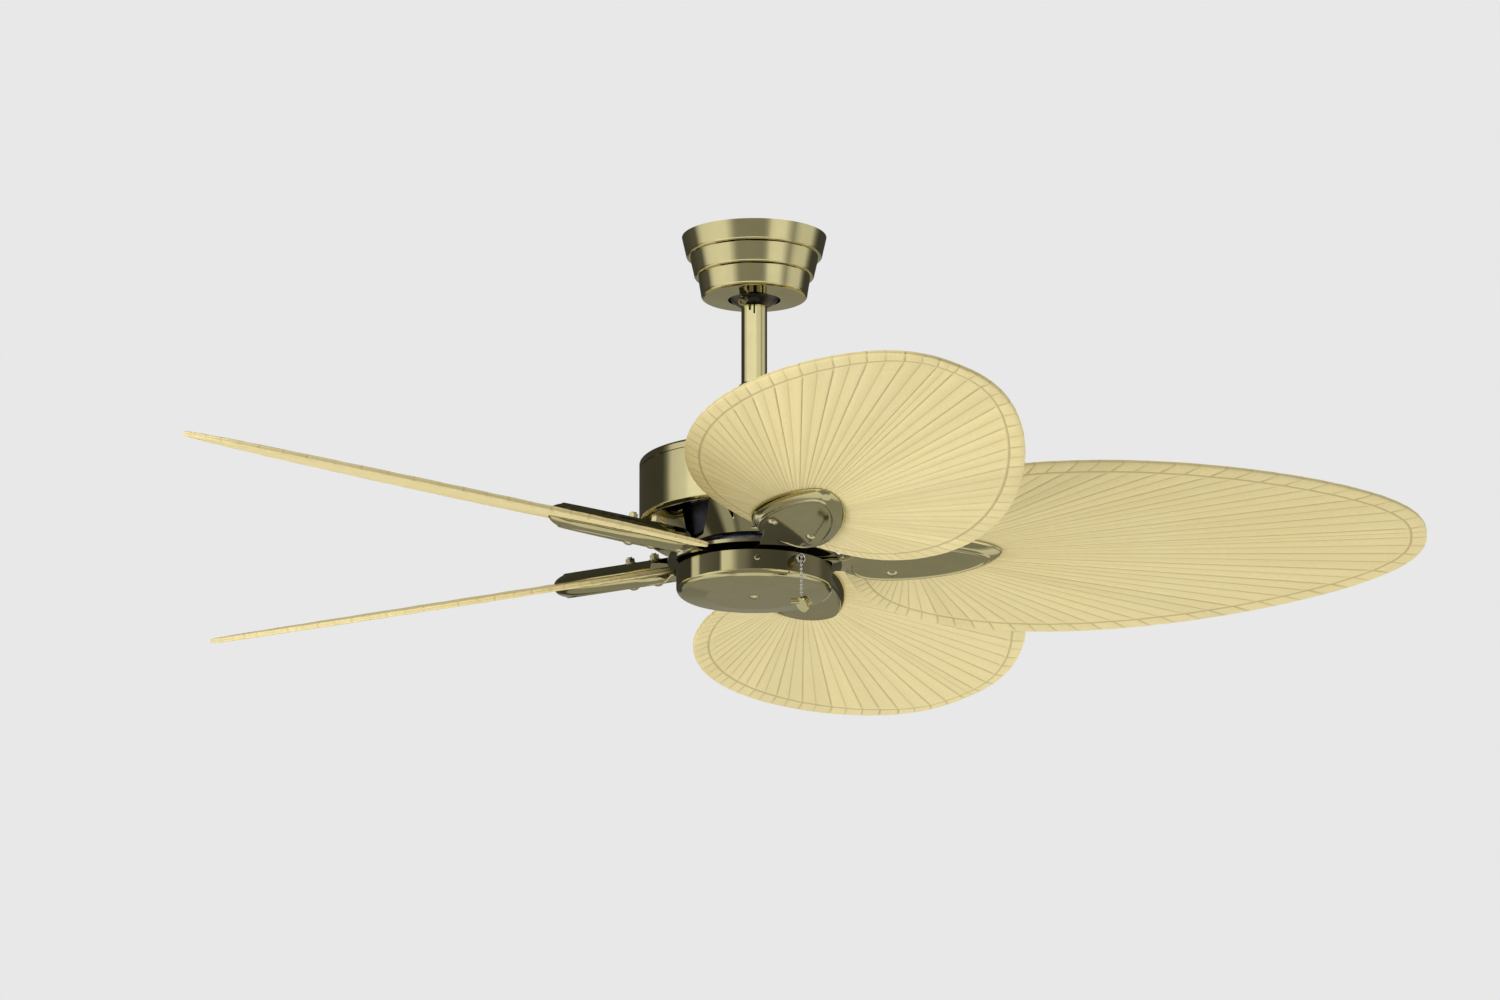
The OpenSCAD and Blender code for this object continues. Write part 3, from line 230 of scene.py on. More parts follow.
def palm_leaf():
    """Dried palm leaf: cream, with fibres along the ribs, painted shade in the valleys of its folds,
    and brown where the mesh marks its lines, partly painted shade in the grooves they lie in.
    """
    material, nodes, links, shader = new_material("palm_leaf")

    def attribute(name):
        node = nodes.new("ShaderNodeAttribute")
        node.attribute_name = name
        return node.outputs["Fac"]

    uv = nodes.new("ShaderNodeUVMap")
    uv.uv_map = "ribs"
    fibre_map = nodes.new("ShaderNodeMapping")
    fibre_map.inputs["Scale"].default_value = (9.0, 14.0, 1.0)
    links.new(uv.outputs["UV"], fibre_map.inputs["Vector"])
    fibres = noise(nodes, links, fibre_map.outputs["Vector"], 1.0, 5.0, 0.65)
    streaks = ramp(nodes, links, fibres, [(0.3, 0.0), (0.7, 1.0)])
    cream = mix(nodes, links, streaks, DARK_CREAM, PALE_CREAM)
    # random tone of the pleats, with painted shade that keeps leaves 4 and 5 darker
    tone_and_shade = ramp(nodes, links, attribute("tone_and_shade"), [(0.0, 0.94), (1.0, 1.04)])
    cream = mix(nodes, links, 1.0, cream, tone_and_shade, "MULTIPLY")
    blotch = noise(nodes, links, coordinates(nodes, links), 9.0, 3.0)
    patches = ramp(nodes, links, blotch, [(0.35, 0.0), (0.75, 0.22)])
    cream = mix(nodes, links, patches, cream, BLEACHED)
    # painted shade in the valleys of the pleats
    cream = mix(nodes, links, attribute("painted_fold_shade"), cream, FOLD_SHADE)
    # the lines: partly the leaf's brown creases, partly painted shade in their grooves
    cream = mix(nodes, links, attribute("line"), cream, LINE_BROWN)
    links.new(cream, shader.inputs["Base Color"])
    shader.inputs["Roughness"].default_value = 0.72
    shader.inputs["Specular IOR Level"].default_value = 0.12
    bump(nodes, links, shader, fibres, 0.0004, 0.5)
    return material


MATERIALS = {
    "antique_brass": metal("antique_brass", (0.61, 0.545, 0.285), 0.085, 0.05, 45.0),
    "bright_brass": metal("bright_brass", (0.66, 0.59, 0.34), 0.10, 0.06, 90.0),
    "satin_brass": metal("satin_brass", (0.80, 0.73, 0.48), 0.36, 0.08, 90.0),
    "chrome_trim": metal("chrome_trim", (0.78, 0.78, 0.79), 0.12, 0.06, 120.0),
    "dark_metal": metal("dark_metal", (0.12, 0.115, 0.14), 0.30, 0.15, 70.0),
    "cast_iron": metal("cast_iron", (0.16, 0.16, 0.165), 0.48, 0.25, 120.0, grain=0.0001),
    "cast_aluminium": metal("cast_aluminium", (0.60, 0.60, 0.62), 0.38, 0.15, 110.0, grain=0.0001),
    "zinc_steel": metal("zinc_steel", (0.58, 0.59, 0.61), 0.30, 0.2, 80.0),
    "lamination_steel": metal("lamination_steel", (0.30, 0.30, 0.32), 0.42, 0.2, 60.0,
                              grain=0.00004, stretch=(1, 1, 14)),
    "copper_wire": metal("copper_wire", (0.72, 0.33, 0.16), 0.28, 0.2, 60.0,
                         grain=0.0002, stretch=(1, 1, 6)),
    "black_plastic": plastic("black_plastic", (0.022, 0.022, 0.025), 0.42),
    "wire_jacket": plastic("wire_jacket", (0.030, 0.030, 0.033), 0.38),
    "white_plastic": plastic("white_plastic", (0.70, 0.70, 0.66), 0.35),
    "palm_leaf": palm_leaf(),
}
# Nodes whose finish isn't that of their own slot; the rotor's parts take the dark metal as painted
# shade inside the motor, where they are seen through the vents
OTHER_FINISH = {
    "rotor_bottom": "dark_metal", "rotor_top": "dark_metal", "rotor_ring": "dark_metal",
    "ball_lock_screw": "satin_brass", "ball_lock_nut": "satin_brass",
}


def dress_nodes():
    """Gives each carried-over CAD node a procedural material, mostly that of its own slot."""
    for key, node in NODES.items():
        for place in node.material_slots:
            name = OTHER_FINISH.get(key, place.material.name.split(".")[0])
            if name in MATERIALS and place.material is not MATERIALS[name]:
                place.material = MATERIALS[name]


# ---------------------------------------------------------------- mesh helpers

def mesh_object(name, vertices, faces, material, body):
    """A smooth shaded mesh piece, its vertices in millimetres."""
    mesh = bpy.data.meshes.new(name)
    mesh.from_pydata([tuple(v) for v in np.asarray(vertices) * MM], [], faces)
    mesh.materials.append(MATERIALS[material])
    mesh.polygons.foreach_set("use_smooth", [True] * len(mesh.polygons))
    mesh.update()
    piece = bpy.data.objects.new(name, mesh)
    bpy.context.scene.collection.objects.link(piece)
    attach(piece, body)
    return piece


def grid_faces(rows, columns, start=0):
    """Quads over a grid of rows that each close on themselves."""
    faces = []
    for j in range(rows - 1):
        for i in range(columns):
            a = start + j * columns + i
            b = start + j * columns + (i + 1) % columns
            faces.append((a, b, b + columns, a + columns))
    return faces


def at_arm(k):
    """Turns a blade's frame to the place of arm k."""
    return Matrix.Rotation(math.radians(BLADE_TURN + 360 * k / BLADE_COUNT), 4, "Z")


def tilt():
    """Lifts a blade's frame to the hub, and gives it the blade's rise and pitch."""
    return (Matrix.Translation((0, 0, HUB_Z))
            @ Matrix.Rotation(math.radians(-BLADE_RISE), 4, "Y")
            @ Matrix.Rotation(math.radians(-BLADE_PITCH), 4, "X"))


def moved(points, matrix):
    """Points through a 4 by 4 matrix, in millimetres."""
    m = np.array(matrix)
    return np.asarray(points) @ m[:3, :3].T + m[:3, 3]


# ---------------------------------------------------------------- palm leaf blades

TIP_CURVE, TAPER = 0.413, 0.443     # of the outline: how blunt its tip is, and how it narrows


def leaf_shape(r):
    """The outline's half width along the blade, before it is scaled."""
    u = np.clip((r - LEAF_START) / (BLADE_TIP - LEAF_START), 0, 1)
    return np.sqrt(u) * (1 - u) ** TIP_CURVE * (1 - TAPER * u)


LEAF_PEAK = leaf_shape(np.linspace(LEAF_START, BLADE_TIP, 2001)).max()


def leaf_half_width(r):
    """The outline's half width in millimetres."""
    rounded = 1 - ROOT_NARROWS * np.exp(-np.maximum(r - BLADE_ROOT, 0) / ROOT_FADE)
    return BLADE_WIDTH / 2 * leaf_shape(r) / LEAF_PEAK * rounded


HALVINGS = 36       # steps of the search for the outline


def reach(origin, direction):
    """How far each ray goes from its origin to the leaf's outline, found by halving."""
    low = np.zeros(len(direction))
    high = np.full(len(direction), BLADE_TIP)
    for _ in range(HALVINGS):
        middle = (low + high) / 2
        x, y = (origin + direction * middle[:, None]).T
        inside = (np.abs(y) <= leaf_half_width(x)) & (x >= BLADE_ROOT) & (x <= BLADE_TIP)
        low = np.where(inside, middle, low)
        high = np.where(inside, high, middle)
    return low


def unit(angle):
    """Unit vectors in the given directions."""
    return np.stack([np.cos(angle), np.sin(angle)], axis=-1)


FOCUS = np.array([RIB_FOCUS, 0.0])
CLOSE_FROM, CLOSE_OVER = 82, 20     # degrees from the tip's direction: where the ribs draw closer


def rib_angles(rng):
    """Directions of the ribs: evenly spaced where they meet the outline, closer round the root."""
    half = [0.0]
    while half[-1] < math.pi:
        length = reach(FOCUS[None], unit(np.array([half[-1]])))[0]
        close = min(max((math.degrees(half[-1]) - CLOSE_FROM) / CLOSE_OVER, 0), 1)
        half.append(half[-1] + (RIB_SPACING + (RIB_CLOSE - RIB_SPACING) * close) / length)
    half = np.array(half[:-1]) * math.pi / half[-1]
    angles = np.concatenate([half, 2 * math.pi - half[:0:-1]])
    gaps = np.diff(np.append(angles, 2 * math.pi))
    return angles + rng.uniform(-RIB_JITTER, RIB_JITTER, len(angles)) * gaps


# Across two pleats, from a sharp rib over a soft fold to the next sharp rib:
# (place, height of the face, depth of the painted shade, strength of the rib line)
PLEAT = [
    (0.0, -0.7, 0.2, 1.0), (0.05, 0.1, 0.1, 0.4), (0.12, 0.75, 0.0, 0.0), (0.45, 0.55, 0.05, 0.0),
    (0.75, 0.15, 0.35, 0.0), (0.92, -0.2, 0.6, 0.0), (0.96, -0.3, 0.65, 0.3),
    (1.0, -0.35, 0.65, 0.5), (1.04, -0.3, 0.6, 0.3), (1.08, -0.2, 0.55, 0.0),
    (1.3, 0.1, 0.32, 0.0), (1.55, 0.4, 0.08, 0.0), (1.89, 0.7, 0.0, 0.0), (1.955, 0.2, 0.1, 0.35),
]
RIB_HEIGHT = 0.7
# For each leaf: how pale its palest strips are, kept low on leaves 4 and 5 as painted shade,
# how high its pleats stand, how strong the line of its soft folds is, and how deep the painted shade
# of all its folds
LEAF_TONE_AND_SHADE = (1.0, 0.8, 0.9, 0.35, 0.35)
FOLD_HEIGHT = (1.0, 0.6, 0.8, 0.8, 0.8)
SOFT_LINE = (1.2, 1.9, 1.8, 1.8, 1.8)
FOLD_DEPTH = (0.9, 0.45, 0.45, 0.6, 0.6)
# The panel inside the cord ring: its rows, where it starts from the focus and ends before the ring,
# and how far out the pleats come to their full height
PANEL_ROWS, PANEL_START, PANEL_END, PANEL_SWELL = 17, 7, 8.0, 110
# Rows from there to the rim's face: (distance from the cord ring, height, line, share of the ribs);
# the line at the ring lies in its groove, partly the cord's brown and partly painted shade
CORD_ROWS = [
    (-4.6, 0.1, 0.0, 0.7), (-3.0, 0.25, 0.0, 0.4), (-1.9, 0.3, 0.0, 0.3), (-1.1, 0.0, 0.45, 0.3),
    (-0.3, -0.25, 0.8, 0.3), (0.6, -0.1, 0.65, 0.6), (1.5, 0.2, 0.0, 1.1), (3.2, 0.1, 0.0, 1.1),
    (8.5, 0.0, 0.0, 0.9),
]
CORD_REACH = 2          # how near the ring the pleats lie flatter
TICK_TURN = math.radians(12)        # how far the rim's lines turn from the ribs, towards its edge
# Rows over the rim's edge: (inset from the outline, height from the middle, share of the pleats,
# line);
# the line along the edge's middle is painted shade in the groove between its two plies
EDGE_ROWS = [(1.4, 2.15, 0.25, 0.0), (0.35, 1.75, 0, 0.0), (0.0, 1.0, 0, 0.05), (1.1, 0.0, 0, 0.3)]
RIB_NOTCH, EDGE_NOTCH = 0.7, 0.6    # how far the edge draws back at a rib, and anywhere
FOLD_SHARE, LINE_SHARE = 0.55, 0.75     # how much of the shade and the lines the colour takes
FOCUS_LEVEL = 0.3       # all three at the focus itself


def leaf_columns(k, rng):
    """The columns of points round the focus: (direction, number of the pleat, height, shade, line,
    tone with painted shade), each with one value per column."""
    ribs = rib_angles(rng)[::2]
    count = len(ribs)
    gaps = np.diff(np.append(ribs, ribs[0] + 2 * math.pi)) / 2
    place, height, shade, line = np.array(PLEAT).T
    angle = (ribs[:, None] + gaps[:, None] * place).ravel()
    number = (np.arange(count)[:, None] + place).ravel()
    # a random tone for each pleat; its range keeps leaves 4 and 5 darker as painted shade
    tone_and_shade = np.repeat(rng.uniform(0, LEAF_TONE_AND_SHADE[k], count), len(PLEAT))
    sharp = rng.uniform(0.7, 1.0, (count, 1))
    soft = SOFT_LINE[k] * rng.uniform(0.5, 1.0, (count, 1))
    strength = np.where(place > 1.5, 0.8, np.where(place < 0.5, sharp, soft))
    height = np.tile(height, count) * FOLD_HEIGHT[k]
    shade = np.tile(shade, count) * FOLD_DEPTH[k]
    return angle, number, height, shade, np.tile(line, count) * strength.ravel(), tone_and_shade


def leaf_rows(rng, angle, height, shade, line):
    """The upper face's rows, from the focus over the rim: (points, height, shade, line, distance)."""
    ray = unit(angle)
    length = reach(np.repeat(FOCUS[None], len(angle), 0), ray)
    outline = FOCUS + ray * length[:, None]
    tangent = np.roll(outline, -1, 0) - np.roll(outline, 1, 0)
    tangent /= np.linalg.norm(tangent, axis=1)[:, None]
    normal = np.stack([tangent[:, 1], -tangent[:, 0]], axis=1)
    cosine = (ray * normal).sum(1)
    facing = np.clip(cosine, 0.35, 1)
    ring_at = length - np.minimum(RING_INSET / facing, 0.45 * length)
    ring = FOCUS + ray * ring_at[:, None]
    side = np.sign(ray[:, 0] * normal[:, 1] - ray[:, 1] * normal[:, 0])
    tick = unit(angle + side * np.minimum(TICK_TURN, np.arccos(np.clip(cosine, -1, 1))))
    tick_length = reach(ring, tick)
    at_rib = np.arange(len(angle)) % len(PLEAT) == 0
    notch = np.where(at_rib, RIB_NOTCH, 0) + rng.uniform(0, EDGE_NOTCH, len(angle))

    rows = []
    base = BLADE_THICK / 2 - RIB_HEIGHT
    for s in np.linspace(0.0, 1.0, PANEL_ROWS) ** 0.85:
        along = PANEL_START + (ring_at - PANEL_START - PANEL_END / facing) * s
        swell = RIB_HEIGHT * np.clip(along / PANEL_SWELL, 0.1, 1)
        points = FOCUS + ray * along[:, None]
        rows.append((points, base + height * swell, shade, line * (0.6 + 0.4 * s), along))
    for distance, lift, mark, ribbed in CORD_ROWS:
        if distance <= 0:
            points = ring + ray * (distance / facing)[:, None]
        else:
            points = ring + tick * (tick_length * distance / RING_INSET)[:, None]
        flatter = 0.45 if abs(distance) < CORD_REACH else 0.8
        if 0 <= distance < CORD_REACH:
            flatter *= 0.5
        z = np.minimum(base + lift + height * RIB_HEIGHT * flatter, BLADE_THICK / 2)
        rows.append((points, z, shade * 0.8, np.maximum(line * ribbed, mark), ring_at + distance))
    for inset, level, pleats, mark in EDGE_ROWS:
        points = ring + tick * (tick_length - inset - notch)[:, None]
        rows.append((points, level + height * pleats, shade * 0.6, np.maximum(line * 0.5, mark),
                     ring_at + RING_INSET))
    return rows


def leaf_mesh(rows, columns):
    """Points and faces of both sides; the lower side mirrors the upper one, and they share the rim."""
    base = BLADE_THICK / 2 - RIB_HEIGHT
    top = [np.column_stack([p, z]) for p, z, *_ in rows]
    bottom = [v * (1, 1, -1) for v in top[-2::-1]]
    vertices = np.concatenate([[[RIB_FOCUS, 0, base]], *top, *bottom, [[RIB_FOCUS, 0, -base]]])
    n_rows = len(top) + len(bottom)
    faces = grid_faces(n_rows, columns, 1)
    last = 1 + (n_rows - 1) * columns
    end = len(vertices) - 1
    for i in range(columns):
        j = (i + 1) % columns
        faces.append((0, 1 + j, 1 + i))
        faces.append((end, last + i, last + j))
    return vertices, [f[::-1] for f in faces]


def map_ribs(mesh, across, along, turn):
    """A UV map that follows the ribs: across them up to a whole turn, and along them."""
    loops = np.empty(len(mesh.loops), dtype=np.int32)
    mesh.loops.foreach_get("vertex_index", loops)
    pairs = np.column_stack([across[loops], along[loops]])
    # keep the last pleat from running back across all the others
    starts = np.empty(len(mesh.polygons), dtype=np.int32)
    totals = np.empty(len(mesh.polygons), dtype=np.int32)
    mesh.polygons.foreach_get("loop_start", starts)
    mesh.polygons.foreach_get("loop_total", totals)
    owner = np.repeat(np.arange(len(starts)), totals)
    widest = np.zeros(len(starts))
    np.maximum.at(widest, owner, pairs[:, 0])
    pairs[(widest[owner] - pairs[:, 0]) > turn / 2, 0] += turn
    layer = mesh.uv_layers.new(name="ribs")
    layer.data.foreach_set("uv", pairs.astype(np.float32).ravel())


def make_leaf(k):
    """One blade: two ribbed faces that meet at the rim, with a cord ring inside the rim."""
    rng = np.random.default_rng(40 + k)
    angle, number, height, shade, line, tone_and_shade = leaf_columns(k, rng)
    rows = leaf_rows(rng, angle, height, shade, line)
    vertices, faces = leaf_mesh(rows, len(angle))
    piece = mesh_object(f"leaf_{k + 1}", moved(vertices, at_arm(k) @ tilt()), faces,
                        "palm_leaf", "rotor")

    def both(values):
        """One value per point, for the upper side's rows and again for the lower side's."""
        stack = np.concatenate([*values, *values[-2::-1]])
        return np.concatenate([[FOCUS_LEVEL], stack, [FOCUS_LEVEL]])

    fields = {
        "painted_fold_shade": np.clip(both([r[2] for r in rows]) * FOLD_SHARE, 0, 1),
        "line": np.clip(both([r[3] for r in rows]) * LINE_SHARE, 0, 1),
        "tone_and_shade": both([tone_and_shade] * len(rows)),
    }
    for name, values in fields.items():
        layer = piece.data.attributes.new(name, "FLOAT", "POINT")
        layer.data.foreach_set("value", values.astype(np.float32))
    across, along = both([number] * len(rows)), both([r[4] for r in rows]) / 100
    map_ribs(piece.data, across, along, turn=len(angle) // len(PLEAT))
    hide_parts(f"blade_{k + 1}")


# ---------------------------------------------------------------- pressed irons and plates

PAN_ROOT_CURVE, PAN_TIP_CURVE = 0.24, 0.56      # of its plan: how blunt the root and the tip are


def pan_shape(u):
    """The pan's half width from its root, 0, to its tip, 1, before it is scaled."""
    return u ** PAN_ROOT_CURVE * (1 - u) ** PAN_TIP_CURVE


PAN_PEAK = pan_shape(np.linspace(0.001, 0.999, 999)).max()
PAN_STEPS = 128         # points round each ring
# The pan's section, from its rim against the blade over a raised line to its flat face:
# (inset, depth) in millimetres
PAN_SECTION = [
    (0.0, 0.0), (0.3, 1.0), (1.0, 2.4), (2.2, 4.0), (4.2, 5.6), (6.4, 6.9), (8.0, 7.6), (8.6, 7.8),
    (9.1, 8.5), (9.9, 9.1), (10.6, 9.3), (11.3, 9.1), (12.1, 8.5), (12.7, 8.35), (13.8, 8.7),
    (15.0, 8.8), (16.5, 8.8),
]
ROOT_BACK, TIP_BACK = 0.55, 1.35    # how far the root and the tip draw back for each inset
PAN_SWEEP, PAN_SWEEP_FROM = 0.03, 100       # how the pan bends to one side, and from where


def pan_ring(inset, squeeze=1.0):
    """The pan's plan at an inset from its rim; the tip draws back further than the sides."""
    start = IRON_ROOT + ROOT_BACK * inset
    end = IRON_TIP - TIP_BACK * inset
    width = IRON_WIDTH - 2 * inset
    theta = np.arange(PAN_STEPS) * 2 * math.pi / PAN_STEPS
    u = (1 - np.cos(theta)) / 2
    w = width / 2 * pan_shape(u) / PAN_PEAK * np.sign(np.sin(theta)) * squeeze
    w[PAN_STEPS // 2] = 0
    r = start + (end - start) * u
    return np.column_stack([r, w + PAN_SWEEP * (r - PAN_SWEEP_FROM) * (1 - u ** 6)])


def pan_mesh():
    """A dished pan: rim against the blade, rounded wall, raised line and flat face below."""
    rings = []
    for inset, depth in PAN_SECTION:
        rings.append(np.column_stack([pan_ring(inset), np.full(PAN_STEPS, -BLADE_THICK / 2 - depth)]))
    for squeeze in (0.66, 0.33, 0.0):       # the flat face closes from the last inset
        rings.append(np.column_stack([pan_ring(inset, squeeze), np.full(PAN_STEPS, -IRON_FACE)]))
    return np.concatenate(rings), grid_faces(len(rings), PAN_STEPS)


def thicken(piece, thickness):
    """Gives a sheet its thickness, inwards, and applies it."""
    weld = piece.modifiers.new("weld", "WELD")
    weld.merge_threshold = 0.00001
    solid = piece.modifiers.new("sheet", "SOLIDIFY")
    solid.thickness = thickness * MM
    solid.offset = -1
    apply_modifiers(piece)


def apply_modifiers(piece):
    """Puts the modifiers' result in the piece's mesh."""
    evaluated = piece.evaluated_get(bpy.context.evaluated_depsgraph_get())
    mesh = bpy.data.meshes.new_from_object(evaluated)
    piece.modifiers.clear()
    piece.data = mesh


def arm_mesh():
    """The iron's arm: a flat bar with a round inner end, and a neck that twists to the pan's slope."""
    slope = tilt()
    flat_shift = Matrix.Translation((0, 0, ARM_BOTTOM))
    round_by = ARM_WIDTH / 2
    sections = []       # (place of its -Y edge, place of its +Y edge, half width, twist from 0 to 1)
    for a in np.radians([58, 66, 76, 90]):
        x = ARM_ROUND - round_by * math.cos(a)
        sections.append((x, x, round_by * math.sin(a), 0.0))
    sections += [(x, x, ARM_WIDTH / 2, 0.0) for x in (*ARM_STATIONS, NECK_START)]
    for t in np.linspace(0.15, 1.0, 9):
        low_x, high_x = (NECK_START + (end - NECK_START) * t for end in NECK_ENDS)
        sections.append((low_x, high_x, ARM_WIDTH / 2 + NECK_SPREAD * t, t))
    profile = [(0, ARM_EDGE), (ARM_EDGE, 0), (ARM_THICK - ARM_EDGE, 0), (ARM_THICK, ARM_EDGE)]
    profile = [(-1, z, inset) for z, inset in profile] + [(1, z, inset) for z, inset in profile[::-1]]
    rings = []
    for low_x, high_x, half, t in sections:
        flat, turned = [], []
        for side, z, inset in profile:
            x = low_x if side < 0 else high_x
            w = side * (half - inset)
            flat.append((x, w, z))
            turned.append((x, w, z - IRON_FACE + NECK_OVERLAP))
        ease = t * t * (3 - 2 * t)
        rings.append(moved(flat, flat_shift) * (1 - ease) + moved(turned, slope) * ease)
    n = len(rings[0])
    vertices = np.concatenate(rings)
    faces = [f[::-1] for f in grid_faces(len(rings), n)]
    faces.append(tuple(range(n)))
    faces.append(tuple(range(len(vertices) - 1, len(vertices) - 1 - n, -1)))
    return vertices, faces


def make_irons():
    """The five irons, each a pan and its arm, and the plates that mirror the pans above the blades."""
    pan_points, pan_faces = pan_mesh()
    arm_points, arm_faces = arm_mesh()
    plate_faces = [f[::-1] for f in pan_faces]
    mirror = Matrix.Scale(-1, 4, (0, 0, 1))
    for k in range(BLADE_COUNT):
        on_blade = at_arm(k) @ tilt()
        iron = mesh_object(f"iron_{k + 1}", moved(pan_points, on_blade), pan_faces,
                           "antique_brass", "rotor")
        thicken(iron, IRON_THICK)
        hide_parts(f"blade_iron_{k + 1}")
        arm = mesh_object(f"iron_arm_{k + 1}", moved(arm_points, at_arm(k)), arm_faces,
                          "antique_brass", "rotor")
        bevel = arm.modifiers.new("round", "BEVEL")
        bevel.width = 0.6 * MM
        bevel.segments = 2
        apply_modifiers(arm)
        plate = mesh_object(f"plate_{k + 1}", moved(pan_points, on_blade @ mirror), plate_faces,
                            "antique_brass", "rotor")
        thicken(plate, IRON_THICK)
        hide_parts(f"blade_plate_{k + 1}")


# ---------------------------------------------------------------- studio

BACKGROUND = 0.807      # linear grey of the photograph's pale background
WORLD_LIGHT = 0.69      # strength of the world's soft light
FLOOR_Z = -3.0
FLOOR_GREY = 0.84
FLOOR_RADIUS = 4.6
FLOOR_FADE = 1.6        # how far out the floor starts to fade

MID = 0.315             # brightness of the grey cards below the fan
SURROUND_RADIUS = 6.0
# Bands of reflector cards round the fan: (lowest, highest, [(direction, brightness)]). Heights and
# directions are angles in degrees; direction 0 is towards the camera and positive to its right.
BANDS = [
    (25, 89, [(-180, 0.05), (180, 0.05)]),
    (12, 25, [(-180, 0.06), (-104, 0.06), (-98, 0.2), (-91, 0.78), (-82, 0.88), (-73, 0.93),
              (-68, 1.2), (14, 1.27), (26, 0.95), (54, 0.92), (62, 0.7), (70, 0.4), (78, 0.75),
              (88, 0.87), (102, 0.65), (112, 0.6), (118, 0.06), (180, 0.06)]),
    (-12, 12, [(-180, 0.29), (-166, 0.29), (-160, 0.06), (-136, 0.08), (-109, 0.13), (-101, 0.6),
               (-94, 0.9), (-84, 1.0), (-64, 1.05), (-47, 1.0), (-39, 0.65), (-32, 0.36),
               (-26, 0.32), (16, 0.31), (22, 0.45), (29, 0.95), (37, 1.05), (52, 1.02), (62, 0.55),
               (68, 0.38), (76, 0.66), (84, 0.8), (106, 0.79), (112, 0.5), (119, 0.2), (127, 0.07),
               (160, 0.06), (166, 0.29), (180, 0.29)]),
    (-20, -12, [(-180, 0.29), (-177, 0.29), (-173, 0.06), (-130, 0.06), (-110, 0.3), (120, 0.3),
                (140, 0.12), (156, 0.12), (162, 0.28), (180, 0.29)]),
    (-66, -20, [(-180, MID), (-128, MID), (-112, 0.8), (-70, 0.9), (-54, 0.28), (54, 0.28),
                (70, 0.85), (110, 0.75), (126, MID), (180, MID)]),
    (-90, -66, [(-180, 0.8), (180, 0.8)]),
]
# A low glowing card close round the switch housing, which its wall mirrors, to paint a reflection
# on the wall: (direction, brightness)
COLLAR = [
    (-180, 0.05), (-62, 0.05), (-59.5, 0.8), (-52, 0.75), (-49.5, 0.16), (-29, 0.1), (-27, 0.92),
    (-20, 0.82), (-16.5, 0.5), (-13, 0.26), (-6, 0.18), (-1, 0.09), (26, 0.07), (34, 0.14),
    (40, 0.17), (54, 0.2), (62, 0.19), (72, 0.1), (180, 0.06),
]
COLLAR_RADIUS = 86.0
COLLAR_LIFT = 10.0      # how far it stands above the housing's own height
# A flat glowing card between the flywheel and the vented cover, which the cover's cone mirrors:
# a painted reflection on the cone, with its dark stretches as painted shade
UNDER_COVER = [
    (-180, 0.25), (-100, 0.25), (-76, 0.1), (-62, 0.28), (-52, 0.28), (-46, 0.06), (-32, 0.05),
    (-27, 0.4), (-21, 0.42), (-17, 0.14), (-12, 0.28), (60, 0.3), (180, 0.25),
]
UNDER_COVER_RADII = (56.0, 108.0)


def make_surround():
    """Glowing cards that only reflections see: the bands, the collar and the one under the cover."""
    material = bpy.data.materials.new("cards")
    material.use_nodes = True
    nodes, links = material.node_tree.nodes, material.node_tree.links
    nodes.clear()
    glow = nodes.new("ShaderNodeEmission")
    shade = nodes.new("ShaderNodeAttribute")
    shade.attribute_name = "glow"
    out = nodes.new("ShaderNodeOutputMaterial")
    links.new(shade.outputs["Fac"], glow.inputs["Strength"])
    links.new(glow.outputs["Emission"], out.inputs["Surface"])
    around = np.arange(-180, 181, 1.5)
    azimuth = np.radians(around)
    n = len(around)
    cards = []      # (radii, heights, profile), in metres, from one edge of the card to the other
    for low, high, profile in BANDS:
        rise = np.radians(np.linspace(low, high, 7))
        heights = SURROUND_RADIUS * np.sin(rise) + HUB_Z * MM
        cards.append((SURROUND_RADIUS * np.cos(rise), heights, profile))
    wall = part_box("switch_housing")
    collar_z = np.array([wall[0].z, wall[1].z]) + COLLAR_LIFT * MM
    cards.append((np.full(2, COLLAR_RADIUS * MM), collar_z, COLLAR))
    gap = (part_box("vented_cover")[0].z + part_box("flywheel")[1].z) / 2
    cards.append((np.array(UNDER_COVER_RADII) * MM, np.full(2, gap), UNDER_COVER))
    for number, (radii, levels, profile) in enumerate(cards):
        points = [(r * math.sin(a), -r * math.cos(a), z)
                  for r, z in zip(radii, levels) for a in azimuth]
        faces = [(j * n + i, j * n + i + 1, (j + 1) * n + i + 1, (j + 1) * n + i)
                 for j in range(len(levels) - 1) for i in range(n - 1)]
        mesh = bpy.data.meshes.new(f"cards_{number}")
        mesh.from_pydata(points, [], faces)
        glows = np.tile(np.interp(around, *zip(*profile)), len(levels))
        layer = mesh.attributes.new("glow", "FLOAT", "POINT")
        layer.data.foreach_set("value", glows.astype(np.float32))
        mesh.materials.append(material)
        card = bpy.data.objects.new(f"cards_{number}", mesh)
        bpy.context.scene.collection.objects.link(card)
        for ray in ("camera", "diffuse", "transmission", "volume_scatter", "shadow"):
            setattr(card, f"visible_{ray}", False)


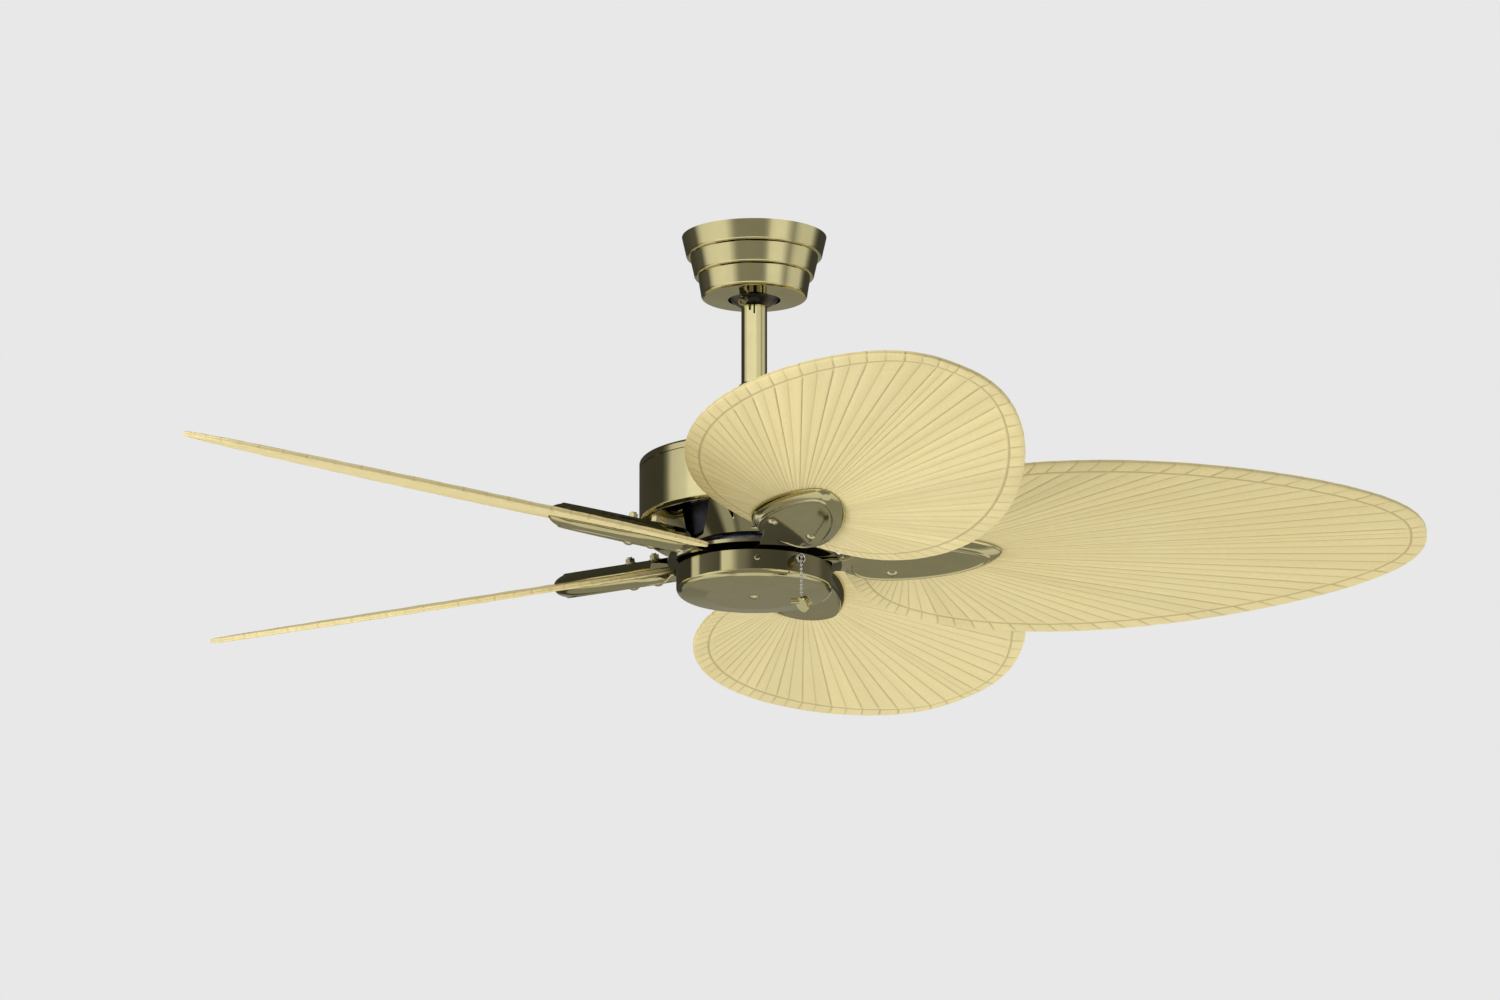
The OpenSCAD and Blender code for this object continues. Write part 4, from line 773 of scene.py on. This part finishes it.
def make_world():
    """A pale world: the plain background to the camera and to reflections, soft light to the rest."""
    world = bpy.data.worlds.new("studio")
    bpy.context.scene.world = world
    world.use_nodes = True
    nodes, links = world.node_tree.nodes, world.node_tree.links
    light = nodes["Background"]
    light.inputs["Color"].default_value = (1, 0.985, 0.965, 1)
    light.inputs["Strength"].default_value = WORLD_LIGHT
    backdrop = nodes.new("ShaderNodeBackground")
    backdrop.inputs["Color"].default_value = (BACKGROUND, BACKGROUND, BACKGROUND, 1)
    backdrop.inputs["Strength"].default_value = 1.0
    path = nodes.new("ShaderNodeLightPath")
    seen = path.outputs["Is Camera Ray"]
    for other in ("Is Glossy Ray", "Is Transmission Ray"):
        either = nodes.new("ShaderNodeMath")
        either.operation = "MAXIMUM"
        links.new(seen, either.inputs[0])
        links.new(path.outputs[other], either.inputs[1])
        seen = either.outputs[0]
    choose = nodes.new("ShaderNodeMixShader")
    links.new(seen, choose.inputs["Fac"])
    links.new(light.outputs["Background"], choose.inputs[1])
    links.new(backdrop.outputs["Background"], choose.inputs[2])
    links.new(choose.outputs["Shader"], nodes["World Output"].inputs["Surface"])


def make_floor():
    """A pale round floor whose edge fades into the background."""
    steps = 96
    points = [(0, 0, 0)]
    for i in range(steps):
        a = 2 * math.pi * i / steps
        points.append((FLOOR_RADIUS * math.cos(a), FLOOR_RADIUS * math.sin(a), 0))
    mesh = bpy.data.meshes.new("floor")
    mesh.from_pydata(points, [], [(0, 1 + i, 1 + (i + 1) % steps) for i in range(steps)])
    material, nodes, links, shader = new_material("floor")
    shader.inputs["Base Color"].default_value = (FLOOR_GREY, FLOOR_GREY, FLOOR_GREY, 1)
    shader.inputs["Roughness"].default_value = 0.9
    shader.inputs["Specular IOR Level"].default_value = 0.0
    length = nodes.new("ShaderNodeVectorMath")
    length.operation = "LENGTH"
    source = nodes.new("ShaderNodeTexCoord")
    links.new(source.outputs["Object"], length.inputs[0])
    fade = nodes.new("ShaderNodeMapRange")
    fade.inputs["From Min"].default_value = FLOOR_FADE
    fade.inputs["From Max"].default_value = FLOOR_RADIUS * 0.98
    fade.inputs["To Min"].default_value = 1.0
    fade.inputs["To Max"].default_value = 0.0
    links.new(length.outputs["Value"], fade.inputs["Value"])
    links.new(fade.outputs["Result"], shader.inputs["Alpha"])
    mesh.materials.append(material)
    floor = bpy.data.objects.new("floor", mesh)
    floor.location = (0, 0, FLOOR_Z)
    floor.visible_glossy = False
    bpy.context.scene.collection.objects.link(floor)


def area_light(name, location, power):
    """A soft square lamp that faces the hub and isn't seen in reflections."""
    data = bpy.data.lights.new(name, "AREA")
    data.size = 2.2
    data.energy = power
    data.color = (1, 0.98, 0.95)
    lamp = bpy.data.objects.new(name, data)
    lamp.location = location
    towards = Vector((0, 0, HUB_Z * MM)) - Vector(location)
    lamp.rotation_euler = towards.to_track_quat("-Z", "Y").to_euler()
    lamp.visible_glossy = False
    bpy.context.scene.collection.objects.link(lamp)


bpy.context.scene.view_settings.view_transform = "Standard"
bpy.context.scene.cycles.glossy_bounces = 1     # brass seen in brass stays dark, as in the photograph
make_world()
make_floor()
area_light("key", (2.8, 1.9, -2.0), 48)
area_light("fill", (-3.6, -1.2, -1.2), 84)
make_surround()
dress_nodes()
for blade in range(BLADE_COUNT):
    make_leaf(blade)
make_irons()
